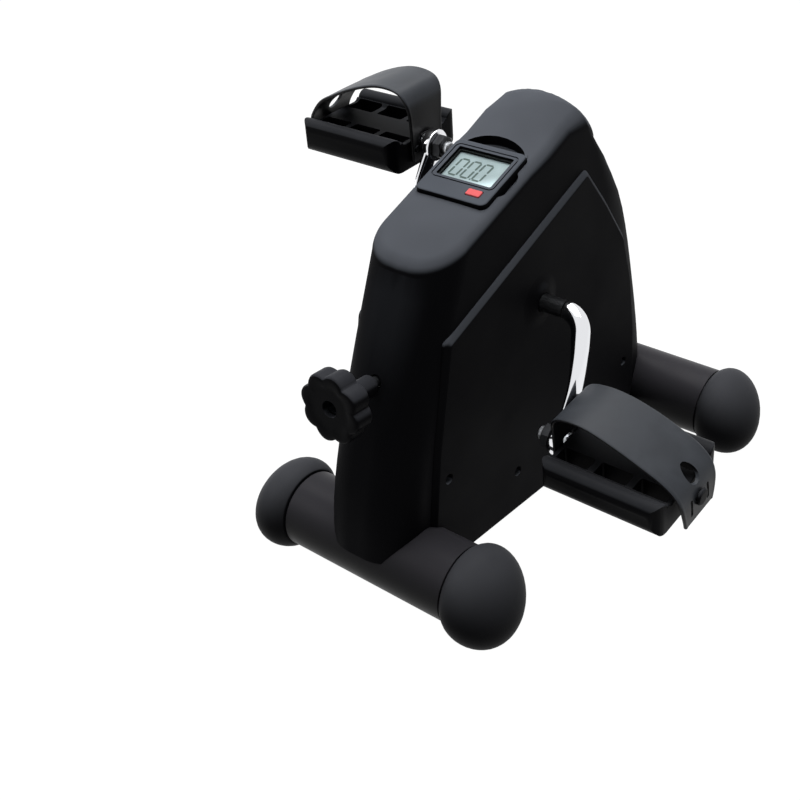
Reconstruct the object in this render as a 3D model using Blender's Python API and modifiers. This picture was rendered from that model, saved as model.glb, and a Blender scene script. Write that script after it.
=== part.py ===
"""A mini exercise bike for a floor or a table, one object for each real piece.

Metres, +Z up. The user is at the front, -Y, and +X is the right side. Sizes are given in
millimetres times MM. Every piece hangs from the datum, an empty on the floor midway
between the two foot tubes; the origin stands under the middle of the whole length.
"""
import math

import bmesh
import bpy
from mathutils import Matrix, Vector

MM = 0.001
GAP = 0.3 * MM  # clearance between pieces that touch

# Stance
TUBE_SPAN = 326 * MM  # between the axes of the two foot tubes
TUBE_RADIUS = 28.8 * MM
TUBE_WALL = 1.6 * MM
TUBE_HEIGHT = 35 * MM  # tube axis above the floor
FRONT_TUBE_HALF = 70 * MM
REAR_TUBE_HALF = 88.5 * MM
FRONT_Y = -TUBE_SPAN / 2
REAR_Y = TUBE_SPAN / 2
KNOB_REACH = 216 * MM  # knob face in front of the datum
CAP_RADIUS = 35.5 * MM
CAP_LENGTH = 43 * MM
CAP_SINK = 11 * MM  # how far the dome's tip lies below the tube's axis
DATUM_Y = (KNOB_REACH - REAR_Y - CAP_RADIUS) / 2

# Crank
CRANK_Y = -39 * MM
CRANK_Z = 192 * MM
CRANK_RADIUS = 85 * MM
CRANK_LEAN = math.radians(27)  # left arm up, leaning to the rear
ARM_X = 86 * MM
AXLE_RADIUS = 6.5 * MM
AXLE_HALF = 59.7 * MM
ARM_TUBE_RADIUS = 7 * MM
ARM_BEND = 17 * MM
EYE_RADIUS = 12 * MM
EYE_THICKNESS = 8 * MM

# Pedals
PEDAL_INNER_X = 94.6 * MM
PEDAL_WIDTH = 89 * MM
PEDAL_OUTER_X = PEDAL_INNER_X + PEDAL_WIDTH
PEDAL_HALF_LENGTH = 41 * MM
SPINDLE_RADIUS = 5 * MM
STRAP_HALF_WIDTH = 22.5 * MM
RIGHT_PEDAL_PITCH = math.radians(10)  # rear edge up
LEFT_PEDAL_PITCH = math.radians(6)
LEFT_STRAP_RISE = 1.14  # the left band stands a little higher
STRAP_THICKNESS = 2.4 * MM
PEG_Y = 12.6 * MM  # inner pegs in front of and behind the spindle

# Housing
HOUSING_HALF = 35.5 * MM
HOUSING_BOTTOM = 23 * MM
HOUSING_WALL = 2.6 * MM
HOUSING_ROOF = 6 * MM  # wall under the sloping top face
NOSE_RADIUS = 29 * MM
RIM_RADIUS = 8 * MM  # rounding between the walls and the top face
FACE_X = 39 * MM  # raised side face
FACE_CHAMFER = 4 * MM
CONE_X = 42 * MM
POST_RADIUS = 5.2 * MM  # screw posts inside the shells

# Tension control
ROD_Z = 171.5 * MM
ROD_RADIUS = 4 * MM
KNOB_RADIUS = 24.4 * MM
KNOB_THICKNESS = 16 * MM
KNOB_LOBES = 9
KNOB_PHASE = math.radians(14)
WHEEL_RADIUS = 42 * MM
WHEEL_HALF = 8 * MM

# Monitor
MONITOR_Y = -72.4 * MM
MONITOR_Z = 287 * MM
MONITOR_TILT = math.radians(23.4)
MONITOR_WIDTH = 56.6 * MM
MONITOR_LENGTH = 52.9 * MM
MONITOR_DEPTH = 17 * MM
DISPLAY_SIZE = (43 * MM, 27.4 * MM)
DISPLAY_Y = 5 * MM
BUTTON_PLACE = (15 * MM, -17.6 * MM)
BUTTON_SIZE = (11 * MM, 5.6 * MM)

# Side view of the housing, as curves through these points
FRONT_WALL = [(20, -193.5), (75, -193.5), (120, -186), (180, -169.5), (243, -149)]  # height, y
REAR_WALL = [(20, 178), (72, 169.5), (148, 141), (222, 105), (262, 71.5), (280, 51)]  # height, y
TOP_LINE = [(-148, 249), (-124, 261), (-97, 273), (-48, 295), (-28, 308), (-10, 319), (5, 323),
            (18, 315.5), (31, 305), (42, 295), (52, 285.5)]  # y, height
FACE_OUTLINE = [(-144.6, 200.8), (13, 273), (45, 240), (77, 203), (94, 164), (108, 115), (116, 70),
                (117, 12), (-157, 12), (-156, 60), (-153.5, 120)]  # y, height
SHELL_SCREWS = [(-54.4, 57.5, 37.4, 1), (-140, 96, 37.4, 1), (-100, 232, 34, -1),
                (-8, 284, 33, -1), (94, 88, 37.4, 1)]  # y, height, half post, side of the head

FINISHES = {  # colour, roughness, metallic
    "black_abs": ((0.018, 0.019, 0.021), 0.45, 0.0),
    "satin_black_steel": ((0.022, 0.022, 0.023), 0.38, 0.2),
    "black_rubber": ((0.02, 0.02, 0.021), 0.6, 0.0),
    "chrome": ((0.75, 0.75, 0.77), 0.12, 1.0),
    "zinc_steel": ((0.5, 0.5, 0.52), 0.35, 1.0),
    "grey_nylon": ((0.25, 0.26, 0.27), 0.5, 0.0),
    "strap_pvc": ((0.045, 0.048, 0.052), 0.42, 0.0),
    "felt": ((0.2, 0.17, 0.12), 0.95, 0.0),
    "display_glass": ((0.6, 0.66, 0.62), 0.08, 0.0),
    "lcd": ((0.42, 0.48, 0.42), 0.3, 0.0),
    "board_green": ((0.03, 0.16, 0.07), 0.5, 0.0),
    "red_button": ((0.55, 0.03, 0.03), 0.4, 0.0),
}

parts = None
cutters = None
datum = None


def clear_scene():
    """Empties the scene and makes the two collections and the datum."""
    global parts, cutters, datum
    for obj in list(bpy.data.objects):
        bpy.data.objects.remove(obj, do_unlink=True)
    parts = bpy.data.collections.new("mini_exercise_bike")
    cutters = bpy.data.collections.new("cutters")
    bpy.context.scene.collection.children.link(parts)
    bpy.context.scene.collection.children.link(cutters)
    datum = add_empty("datum", (0, DATUM_Y, 0))


def add_empty(name, location, parent=None, rotation=(0, 0, 0)):
    empty = bpy.data.objects.new(name, None)
    cutters.objects.link(empty)
    empty.parent = parent
    empty.location = location
    empty.rotation_euler = rotation
    return empty


def material(finish):
    if finish in bpy.data.materials:
        return bpy.data.materials[finish]
    colour, roughness, metallic = FINISHES[finish]
    mat = bpy.data.materials.new(finish)
    mat.use_nodes = True
    shader = mat.node_tree.nodes["Principled BSDF"]
    shader.inputs["Base Color"].default_value = (*colour, 1)
    shader.inputs["Roughness"].default_value = roughness
    shader.inputs["Metallic"].default_value = metallic
    return mat


def add_piece(name, data, finish, location=(0, 0, 0), parent=None, rotation=(0, 0, 0)):
    """Adds one real piece, made of the given mesh or curve."""
    obj = bpy.data.objects.new(name, data)
    parts.objects.link(obj)
    obj.parent = parent or datum
    obj.location = location
    obj.rotation_euler = rotation
    data.materials.append(material(finish))
    return obj


def add_cutter(name, mesh, location=(0, 0, 0), parent=None, rotation=(0, 0, 0)):
    obj = bpy.data.objects.new(name, mesh)
    cutters.objects.link(obj)
    obj.parent = parent or datum
    obj.location = location
    obj.rotation_euler = rotation
    obj.hide_render = True
    obj.display_type = "WIRE"
    return obj


def combine(obj, other, operation="DIFFERENCE"):
    boolean = obj.modifiers.new(operation.title(), "BOOLEAN")
    boolean.operation = operation
    boolean.solver = "EXACT"
    boolean.object = other


def bevel(obj, width, segments=1, angle=40):
    edge = obj.modifiers.new("Edge", "BEVEL")
    edge.width = width
    edge.segments = segments
    edge.limit_method = "ANGLE"
    edge.angle_limit = math.radians(angle)


def smooth(mesh, angle=35):
    mesh.shade_smooth()
    mesh.set_sharp_from_angle(angle=math.radians(angle))
    return mesh


def from_bmesh(bm, name="solid", angle=35):
    mesh = bpy.data.meshes.new(name)
    bm.to_mesh(mesh)
    bm.free()
    return smooth(mesh, angle)


def box(size, centre=(0, 0, 0)):
    bm = bmesh.new()
    place = Matrix.Translation(centre) @ Matrix.Diagonal((*size, 1))
    bmesh.ops.create_cube(bm, size=1, matrix=place)
    return from_bmesh(bm)


AXIS_TURN = {
    "X": Matrix.Rotation(math.pi / 2, 4, "Y"),
    "Y": Matrix.Rotation(-math.pi / 2, 4, "X"),
    "Z": Matrix.Identity(4),
}


def rod(radius, start, end, axis="X", segments=24, end_radius=None):
    """A cylinder or cone whose ends are at start and end along the axis."""
    bm = bmesh.new()
    middle = Matrix.Translation((0, 0, (start + end) / 2))
    bmesh.ops.create_cone(bm, cap_ends=True, segments=segments, radius1=radius,
                          radius2=radius if end_radius is None else end_radius,
                          depth=end - start, matrix=AXIS_TURN[axis] @ middle)
    return from_bmesh(bm)


def profile_mesh(points):
    """The half outline that a Screw modifier turns: (radius, distance along the axis)."""
    mesh = bpy.data.meshes.new("profile")
    verts = [(radius, 0, along) for radius, along in points]
    mesh.from_pydata(verts, [(i, i + 1) for i in range(len(verts) - 1)], [])
    return mesh


def turn(obj, steps, closed=False):
    """Turns a profile about its local Z; a closed one is a ring that misses the axis."""
    if closed:
        bm = bmesh.new()
        bm.from_mesh(obj.data)
        bm.verts.ensure_lookup_table()
        bm.edges.new((bm.verts[-1], bm.verts[0]))
        bm.to_mesh(obj.data)
        bm.free()
    screw = obj.modifiers.new("Turn", "SCREW")
    screw.steps = steps
    screw.render_steps = steps
    screw.use_merge_vertices = True
    screw.merge_threshold = 0.00001


def outline_curve(loops, thickness, name="outline"):
    """A flat outline in local XY, its first loop solid and the rest holes, extruded in Z."""
    curve = bpy.data.curves.new(name, "CURVE")
    curve.dimensions = "2D"
    curve.fill_mode = "BOTH"
    curve.extrude = thickness / 2
    for loop in loops:
        spline = curve.splines.new("POLY")
        spline.points.add(len(loop) - 1)
        for point, (x, y) in zip(spline.points, loop):
            point.co = (x, y, 0, 1)
        spline.use_cyclic_u = True
    return curve


def mesh_from_curve(curve, turn_matrix=Matrix.Identity(4)):
    """The welded mesh of a curve, for pieces that are cut or joined afterwards."""
    holder = bpy.data.objects.new("holder", curve)
    cutters.objects.link(holder)
    graph = bpy.context.evaluated_depsgraph_get()
    mesh = bpy.data.meshes.new_from_object(holder.evaluated_get(graph))
    bpy.data.objects.remove(holder)
    bm = bmesh.new()
    bm.from_mesh(mesh)
    bmesh.ops.remove_doubles(bm, verts=bm.verts, dist=0.00001)
    bmesh.ops.transform(bm, matrix=turn_matrix, verts=bm.verts)
    bm.to_mesh(mesh)
    bm.free()
    return smooth(mesh)


def circle(radius, count=24, centre=(0, 0), start=0.0, sweep=math.tau):
    """Points round a circle, or along an arc with both its ends."""
    whole = abs(sweep - math.tau) < 1e-9
    steps = count if whole else count - 1
    return [(centre[0] + radius * math.cos(start + sweep * i / steps),
             centre[1] + radius * math.sin(start + sweep * i / steps)) for i in range(count)]


def rounded_rectangle(width, height, radius, count=4):
    """Outline of a rectangle with round corners, centred on the origin."""
    points = []
    for corner, (sx, sy) in enumerate(((1, 1), (-1, 1), (-1, -1), (1, -1))):
        centre = (sx * (width / 2 - radius), sy * (height / 2 - radius))
        points += circle(radius, count, centre, corner * math.pi / 2, math.pi / 2)
    return points


# Local X, Y of an outline to world Y, Z, so that it is extruded along X
YZ_TURN = Matrix(((0, 0, 1, 0), (1, 0, 0, 0), (0, 1, 0, 0), (0, 0, 0, 1)))
# Local X, Y of an outline to world X, Z, so that it is extruded along Y
XZ_TURN = Matrix(((1, 0, 0, 0), (0, 0, -1, 0), (0, 1, 0, 0), (0, 0, 0, 1)))


def side_plate(loops, thickness):
    """A plate whose outline is given as (y, z)."""
    return mesh_from_curve(outline_curve(loops, thickness), YZ_TURN)


def front_plate(loops, thickness):
    """A plate whose outline is given as (x, z)."""
    return mesh_from_curve(outline_curve(loops, thickness), XZ_TURN)


def baked(obj):
    """The evaluated mesh of a piece in its own frame, and the piece itself removed."""
    graph = bpy.context.evaluated_depsgraph_get()
    mesh = bpy.data.meshes.new_from_object(obj.evaluated_get(graph))
    bpy.data.objects.remove(obj)
    return mesh


def lerp(a, b, t):
    return a + (b - a) * t


def through(points, t):
    """A smooth curve through (t, value) points in millimetres; returns metres."""
    t = min(max(t / MM, points[0][0]), points[-1][0])
    last = len(points) - 1
    i = max(k for k in range(last) if points[k][0] <= t)

    def slope(k):
        low, high = points[max(k - 1, 0)], points[min(k + 1, last)]
        return (high[1] - low[1]) / (high[0] - low[0])

    (t0, v0), (t1, v1) = points[i], points[i + 1]
    step = t1 - t0
    u = (t - t0) / step
    value = ((2 * u**3 - 3 * u**2 + 1) * v0 + (u**3 - 2 * u**2 + u) * step * slope(i)
             + (3 * u**2 - 2 * u**3) * v1 + (u**3 - u**2) * step * slope(i + 1))
    return value * MM


# Housing: rings round an upright body with a round nose, a tapering tail and a sloping top

FRONT_RIM_Z = 243 * MM
REAR_RIM_Z = 280 * MM
DOME_DROP = 11 * MM


def top_height(x, y):
    """Height of the sloping top face, which is domed across at its rear end."""
    dome = min(max((y + 60 * MM) / (45 * MM), 0), 1)
    drop = lerp(1 * MM, DOME_DROP, dome * dome * (3 - 2 * dome))
    return through(TOP_LINE, y) - drop * (x / HOUSING_HALF) ** 2


def plan_points(front, rear, half, nose, level):
    """Right half of a plan section, from the front tip round to the rear tip."""
    points = [(0, front)]
    for i in range(7):
        angle = math.pi / 2 * i / 6
        points.append((half - nose + nose * math.sin(angle), front + nose * (1 - math.cos(angle))))
    tail = lerp(118, 38, level) * MM
    start = rear - tail
    points.append(((half), lerp(points[-1][1], start, 0.5)))
    handle = start + lerp(0.09, 0.55, level) * tail
    blunt = (34 - 11 * level - 9 * level ** 6) / 35.5 * half
    for i in range(8):
        t = i / 7
        weights = ((1 - t) ** 3, 3 * (1 - t) ** 2 * t, 3 * (1 - t) * t * t, t ** 3)
        x = half * (weights[0] + weights[1]) + blunt * weights[2]
        y = start * weights[0] + handle * weights[1] + rear * (weights[2] + weights[3])
        points.append((x, y))
    return points


def housing_ring(level, inset, drop, bottom, roof, shrink=0.0):
    """One closed ring; level 0 is the bottom edge and 1 the rim under the top face."""
    front = through(FRONT_WALL, lerp(HOUSING_BOTTOM, FRONT_RIM_Z, level)) + inset
    rear = through(REAR_WALL, lerp(HOUSING_BOTTOM, REAR_RIM_Z, level)) - inset
    half = HOUSING_HALF - inset
    right = plan_points(front, rear, half, NOSE_RADIUS - inset, level)
    top_front = through(FRONT_WALL, FRONT_RIM_Z) + inset
    top_rear = through(REAR_WALL, REAR_RIM_Z) - inset
    spine = (front + 0.3 * (rear - front), front + 0.7 * (rear - front))
    ring = []
    for x, y in right + [(-x, y) for x, y in reversed(right[1:-1])]:
        y_spine = min(max(y, spine[0]), spine[1])
        x, y = lerp(x, 0, shrink), lerp(y, y_spine, shrink)
        y_top = lerp(top_front, top_rear, (y - front) / (rear - front))
        rim = top_height(x, y_top) - roof - drop
        ring.append((x, y, lerp(bottom, rim, level)))
    return ring


def housing_solid(inset, roof, bottom):
    """Closed body of the housing, or of its inside when it is inset."""
    rings = [housing_ring(level, inset, RIM_RADIUS, bottom, roof)
             for level in (0, 0.3, 0.5, 0.65, 0.8, 0.9, 1)]
    for angle in (30, 60, 90):
        out = RIM_RADIUS * (1 - math.cos(math.radians(angle)))
        down = RIM_RADIUS * (1 - math.sin(math.radians(angle)))
        rings.append(housing_ring(1, inset + out, down, bottom, roof))
    for shrink in (0.35, 0.7):
        rings.append(housing_ring(1, inset + RIM_RADIUS, 0, bottom, roof, shrink))
    bm = bmesh.new()
    loops = [[bm.verts.new(point) for point in ring] for ring in rings]
    count = len(loops[0])
    for low, high in zip(loops, loops[1:]):
        for i in range(count):
            j = (i + 1) % count
            bm.faces.new((low[i], low[j], high[j], high[i]))
    bm.faces.new(reversed(loops[0]))
    last = loops[-1]
    for i in range(count // 2):
        corners = (last[i], last[i + 1], last[-i - 1], last[-i])
        bm.faces.new(list(dict.fromkeys(corners)))
    bmesh.ops.triangulate(bm, faces=bm.faces)
    bmesh.ops.recalc_face_normals(bm, faces=bm.faces)
    return from_bmesh(bm, "housing", 30)


def side_face(side, margin=0.0, top=FACE_X, chamfer=FACE_CHAMFER):
    """The raised face on one side of the housing, with a chamfered edge; or its inside."""
    bm = bmesh.new()
    base = HOUSING_HALF - 5 * MM - 2 * margin
    verts = [bm.verts.new((side * base, y * MM, z * MM)) for y, z in FACE_OUTLINE]
    face = bm.faces.new(verts)
    bm.normal_update()
    if margin:
        rim = bmesh.ops.inset_region(bm, faces=[face], thickness=margin, use_boundary=True)
        bmesh.ops.delete(bm, geom=rim["faces"], context="FACES")
    raised = bmesh.ops.extrude_face_region(bm, geom=[face])
    outer = [item for item in raised["geom"] if isinstance(item, bmesh.types.BMFace)][0]
    step = top - base - chamfer * 0.8
    bmesh.ops.translate(bm, vec=(side * step, 0, 0), verts=outer.verts)
    if chamfer:
        bmesh.ops.recalc_face_normals(bm, faces=bm.faces)
        bmesh.ops.inset_region(bm, faces=[outer], thickness=chamfer, depth=chamfer * 0.8)
    bmesh.ops.recalc_face_normals(bm, faces=bm.faces)
    return from_bmesh(bm)


def build_housing():
    """Both shells: one hollow form, cut round what passes through it and split in two."""
    blank = add_piece("blank", housing_solid(0, 0, HOUSING_BOTTOM - 4 * MM), "black_abs")
    for side in (-1, 1):
        combine(blank, add_cutter("face", side_face(side)), "UNION")
        cone = rod(19 * MM, 33 * MM, CONE_X, segments=32, end_radius=8.6 * MM)
        combine(blank, add_cutter("cone", cone, (0, CRANK_Y, CRANK_Z),
                                  rotation=(0, 0, 0 if side > 0 else math.pi)), "UNION")
    inside = housing_solid(HOUSING_WALL, HOUSING_ROOF, HOUSING_BOTTOM - 8 * MM)
    combine(blank, add_cutter("inside", inside))
    for side in (-1, 1):
        recess = side_face(side, HOUSING_WALL + 1 * MM, FACE_X - HOUSING_WALL, 0)
        combine(blank, add_cutter("face_inside", recess))
    for y, z, reach, _ in SHELL_SCREWS:
        post = rod(POST_RADIUS, -reach * MM, reach * MM, segments=16)
        combine(blank, add_cutter("post", post, (0, y * MM, z * MM)), "UNION")
    for y, z, _, side in SHELL_SCREWS:
        head = rod(3.6 * MM, 24 * MM, 50 * MM, segments=16)
        turned = (0, 0, 0 if side > 0 else math.pi)
        combine(blank, add_cutter("head_bore", head, (0, y * MM, z * MM), rotation=turned))
        pilot = rod(1.9 * MM, -17 * MM, 26 * MM, segments=12)
        combine(blank, add_cutter("pilot", pilot, (0, y * MM, z * MM), rotation=turned))
    axle = rod(AXLE_RADIUS + 0.6 * MM, -60 * MM, 60 * MM)
    combine(blank, add_cutter("axle_way", axle, (0, CRANK_Y, CRANK_Z)))
    for y in (FRONT_Y, REAR_Y):
        saddle = rod(TUBE_RADIUS + GAP, -60 * MM, 60 * MM, segments=48)
        combine(blank, add_cutter("saddle", saddle, (0, y, TUBE_HEIGHT)))
    below = box((120 * MM, 600 * MM, 40 * MM), (0, 0, HOUSING_BOTTOM - 20 * MM))
    combine(blank, add_cutter("below", below))
    lip = box((90 * MM, 40 * MM, 60 * MM), (0, FRONT_Y - 20 * MM, 14 * MM))
    combine(blank, add_cutter("front_lip", lip))
    knob_way = rod(5.2 * MM, -200 * MM, -140 * MM, "Y")
    combine(blank, add_cutter("knob_way", knob_way, (0, 0, ROD_Z)))
    seat = monitor_seat()
    pocket = mesh_from_curve(outline_curve(
        [rounded_rectangle(MONITOR_WIDTH + 1 * MM, MONITOR_LENGTH + 1 * MM, 5 * MM)], 50 * MM))
    combine(blank, add_cutter("pocket", pocket, parent=seat))
    scoop = rod(21 * MM, -5 * MM, 30 * MM, "Z", segments=32)
    scoop_cutter = add_cutter("scoop", scoop, (0, MONITOR_LENGTH / 2 - 2 * MM, 0), seat)
    scoop_cutter.scale = (1, 0.6, 1)
    combine(blank, scoop_cutter)
    for side in (-1, 1):
        thumb = rod(12.5 * MM, -7.4 * MM, 30 * MM, "Z", segments=32)
        thumb_cutter = add_cutter("thumb", thumb, (side * (MONITOR_WIDTH / 2 - 1 * MM), 0, 0), seat)
        thumb_cutter.scale = (0.42, 1, 1)
        combine(blank, thumb_cutter)
    mesh = baked(blank)
    mesh.materials.clear()
    for name, side in (("left_housing_shell", -1), ("right_housing_shell", 1)):
        shell = add_piece(name, mesh.copy(), "black_abs")
        other_half = box((80 * MM, 500 * MM, 400 * MM), (side * (0.15 - 40) * MM, 0, 180 * MM))
        combine(shell, add_cutter("other_half", other_half))
    for index, (y, z, _, side) in enumerate(SHELL_SCREWS):
        build_shell_screw(index, y * MM, z * MM, side)


def build_shell_screw(index, y, z, side):
    profile = [(0, 26.5), (2.2, 26.3), (3.1, 25.2), (3.1, 24.3), (1.5, 24.3), (1.5, -12), (0, -14)]
    screw = add_piece(f"shell_screw_{index + 1}",
                      profile_mesh([(r * MM, a * MM) for r, a in profile]), "zinc_steel",
                      (0, y, z), rotation=(0, side * math.pi / 2, 0))
    turn(screw, 10)
    slot = box((0.9 * MM, 5 * MM, 2 * MM), (0, 0, 27 * MM))
    combine(screw, add_cutter("slot", slot, parent=screw))


def build_foot_tube(name, y, half):
    loops = [circle(TUBE_RADIUS, 36), circle(TUBE_RADIUS - TUBE_WALL, 36)]
    tube = outline_curve(loops, 2 * half)
    add_piece(name, mesh_from_curve(tube, YZ_TURN), "satin_black_steel", (0, y, TUBE_HEIGHT))


def build_end_cap(name, side, y, half):
    """A swollen plug: spigot in the tube, a dome that sinks outward, and a flat to stand on."""
    spigot = TUBE_RADIUS - TUBE_WALL - GAP
    inner = spigot - 2.6 * MM
    stations = [(-18 * MM, spigot), (GAP, spigot), (GAP, TUBE_RADIUS), (3 * MM, 31 * MM),
                (8 * MM, 34.2 * MM)]
    for angle in range(0, 76, 15):
        bend = math.radians(angle)
        stations.append((lerp(15 * MM, CAP_LENGTH, math.sin(bend)), CAP_RADIUS * math.cos(bend)))
    outside = loft([cap_ring(side, *station) for station in stations] + [[(side * CAP_LENGTH, 0, -CAP_SINK)]])
    cap = add_piece(name, outside, "black_abs", (side * half, y, TUBE_HEIGHT))
    hollow = [(-19 * MM, inner), (9 * MM, inner), (24 * MM, 16 * MM), (28 * MM, 4 * MM)]
    inside = loft([cap_ring(side, *station) for station in hollow])
    combine(cap, add_cutter("cap_inside", inside, (side * half, y, TUBE_HEIGHT)))
    floor = box((120 * MM, 120 * MM, 20 * MM), (side * half, y, -10 * MM))
    combine(cap, add_cutter("floor", floor))


def cap_ring(side, along, radius):
    """A circle round the cap's centre line, which sinks towards the outer end."""
    sink = CAP_SINK * max(along / CAP_LENGTH, 0) ** 2
    return [(side * along, y, z) for y, z in circle(radius, 28, (0, -sink))]


def loft(rings):
    """A closed solid through rings of points; a ring of one point is a tip."""
    bm = bmesh.new()
    loops = [[bm.verts.new(point) for point in ring] for ring in rings]
    for low, high in zip(loops, loops[1:]):
        for i in range(len(low)):
            j = (i + 1) % len(low)
            bm.faces.new(list(dict.fromkeys((low[i], low[j], high[j % len(high)], high[i % len(high)]))))
    for ends in (loops[0], loops[-1]):
        if len(ends) > 2:
            bm.faces.new(ends)
    bmesh.ops.recalc_face_normals(bm, faces=bm.faces)
    return from_bmesh(bm, "loft", 40)


def build_frame():
    """The welded steel frame inside: beam, uprights, rivets and the axle's bushes."""
    beam_loops = [rounded_rectangle(38 * MM, 20 * MM, 3 * MM, 3),
                  rounded_rectangle(34.8 * MM, 16.8 * MM, 1.6 * MM, 3)]
    beam = add_piece("base_beam", front_plate(beam_loops, 300 * MM), "satin_black_steel",
                     (0, 0, TUBE_HEIGHT + 2 * MM))
    for y in (FRONT_Y, REAR_Y):
        end = rod(TUBE_RADIUS + GAP, -40 * MM, 40 * MM, segments=36)
        combine(beam, add_cutter("beam_end", end, (0, y, TUBE_HEIGHT)))
    upright_x = (19 + 1.8) * MM
    head = circle(19 * MM, 13, (CRANK_Y, CRANK_Z), math.radians(-20), math.radians(220))
    outline = [(CRANK_Y + 36 * MM, 29 * MM)] + head + [(CRANK_Y - 36 * MM, 29 * MM)]
    bore = circle(11.3 * MM, 24, (CRANK_Y, CRANK_Z))
    rivets = [(CRANK_Y - 24 * MM, TUBE_HEIGHT + 2 * MM), (CRANK_Y + 24 * MM, TUBE_HEIGHT + 2 * MM)]
    rivet_holes = [circle(3.3 * MM, 12, centre) for centre in rivets]
    window = [(CRANK_Y - 14 * MM, 78 * MM), (CRANK_Y + 14 * MM, 78 * MM),
              (CRANK_Y + 8 * MM, 150 * MM), (CRANK_Y - 8 * MM, 150 * MM)]
    post_way = circle(POST_RADIUS + 1 * MM, 20, (SHELL_SCREWS[0][0] * MM, SHELL_SCREWS[0][1] * MM))
    for name, side in (("left_upright", -1), ("right_upright", 1)):
        add_piece(name, side_plate([outline, bore, window, post_way] + rivet_holes, 3 * MM),
                  "satin_black_steel", (side * upright_x, 0, 0))
    for name, (y, z) in zip(("front_rivet", "rear_rivet"), rivets):
        cutter = rod(3.3 * MM, -40 * MM, 40 * MM, segments=12)
        combine(beam, add_cutter("rivet_way", cutter, (0, y, z)))
        profile = [(0, 25), (4, 24.3), (5.5, 22.6), (3, 22.6), (3, -22.6), (5.5, -22.6), (4, -24.3),
                   (0, -25)]
        rivet = add_piece(name, profile_mesh([(r * MM, a * MM) for r, a in profile]),
                          "zinc_steel", (0, y, z), rotation=(0, math.pi / 2, 0))
        turn(rivet, 12)
    bush_profile = [(14, 16.6), (14, 19), (11, 19), (11, 26), (6.8, 26), (6.8, 16.6)]
    for name, side in (("left_axle_bush", -1), ("right_axle_bush", 1)):
        ring = profile_mesh([(r * MM, a * MM) for r, a in reversed(bush_profile)])
        bush = add_piece(name, ring, "grey_nylon", (0, CRANK_Y, CRANK_Z),
                         rotation=(0, side * math.pi / 2, 0))
        turn(bush, 24, closed=True)


def arm_section(centre, direction, across, thick, wide, count=14):
    """Points of an oval section at right angles to the path, in the plane of the arm."""
    normal = Vector((direction.z, 0, -direction.x))
    return [centre + normal * (thick * math.cos(a)) + across * (wide * math.sin(a))
            for a in (math.tau * i / count for i in range(count))]


def crank_arm_mesh(side):
    """Round tube from the axle, bent down and outward, then pressed flat towards the eye."""
    turned = math.radians(69)
    start = Vector((AXLE_HALF + GAP, 0, 0))
    stations = [(start, 7.0, 7.0)]
    for i in range(1, 6):
        angle = turned * i / 5
        centre = start + Vector((math.sin(angle), 0, math.cos(angle) - 1)) * ARM_BEND
        stations.append((centre, lerp(7.0, 6.4, i / 5), lerp(7.0, 7.2, i / 5)))
    bend_end = stations[-1][0]
    for z, thick, wide in ((24, 5.8, 7.6), (34, 5.0, 8.4), (45, 4.2, 9.2), (60, 3.7, 9.6), (78, 3.7, 9.0)):
        t = min((z * MM + bend_end.z) / (60 * MM + bend_end.z), 1)
        x = lerp(bend_end.x, ARM_X, 1.5 * t - 0.5 * t ** 3)
        stations.append((Vector((x, 0, -z * MM)), thick, wide))
    rings = []
    for i, (centre, thick, wide) in enumerate(stations):
        before = stations[max(i - 1, 0)][0]
        after = stations[min(i + 1, len(stations) - 1)][0]
        direction = Vector((1, 0, 0)) if i == 0 else (after - before).normalized()
        rings.append(arm_section(centre, direction, Vector((0, 1, 0)), thick * MM, wide * MM))
    if side < 0:
        rings = [[(-x, y, -z) for x, y, z in ring] for ring in rings]
    return loft(rings)


def build_crank(crank):
    """Everything that turns with the axle."""
    half = AXLE_HALF / MM
    profile = [(0, half + 8), (3.4, half + 8), (4, half + 7.4), (4, half), (6.5, half)]
    mirrored = [(r, -a) for r, a in reversed(profile)]
    axle = add_piece("crank_axle", profile_mesh([(r * MM, a * MM) for r, a in profile + mirrored]),
                     "satin_black_steel", parent=crank, rotation=(0, math.pi / 2, 0))
    turn(axle, 24)
    for name, side in (("left_crank_arm", -1), ("right_crank_arm", 1)):
        arm = add_piece(name, crank_arm_mesh(side), "chrome", parent=crank)
        eye_z = -side * CRANK_RADIUS
        eye_span = (side * ARM_X - EYE_THICKNESS / 2, side * ARM_X + EYE_THICKNESS / 2)
        eye = rod(EYE_RADIUS, *eye_span, segments=24)
        combine(arm, add_cutter("eye", eye, (0, 0, eye_z), crank), "UNION")
        bore = rod(SPINDLE_RADIUS + GAP, side * ARM_X - 20 * MM, side * ARM_X + 20 * MM)
        combine(arm, add_cutter("eye_bore", bore, (0, 0, eye_z), crank))
        socket = sorted((side * 60 * MM, side * (AXLE_HALF + 8.4 * MM)))
        combine(arm, add_cutter("socket", rod(4 * MM + GAP, *socket, segments=16), parent=crank))
        build_spindle(side, crank, eye_z)
    build_brake_wheel(crank)


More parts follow.
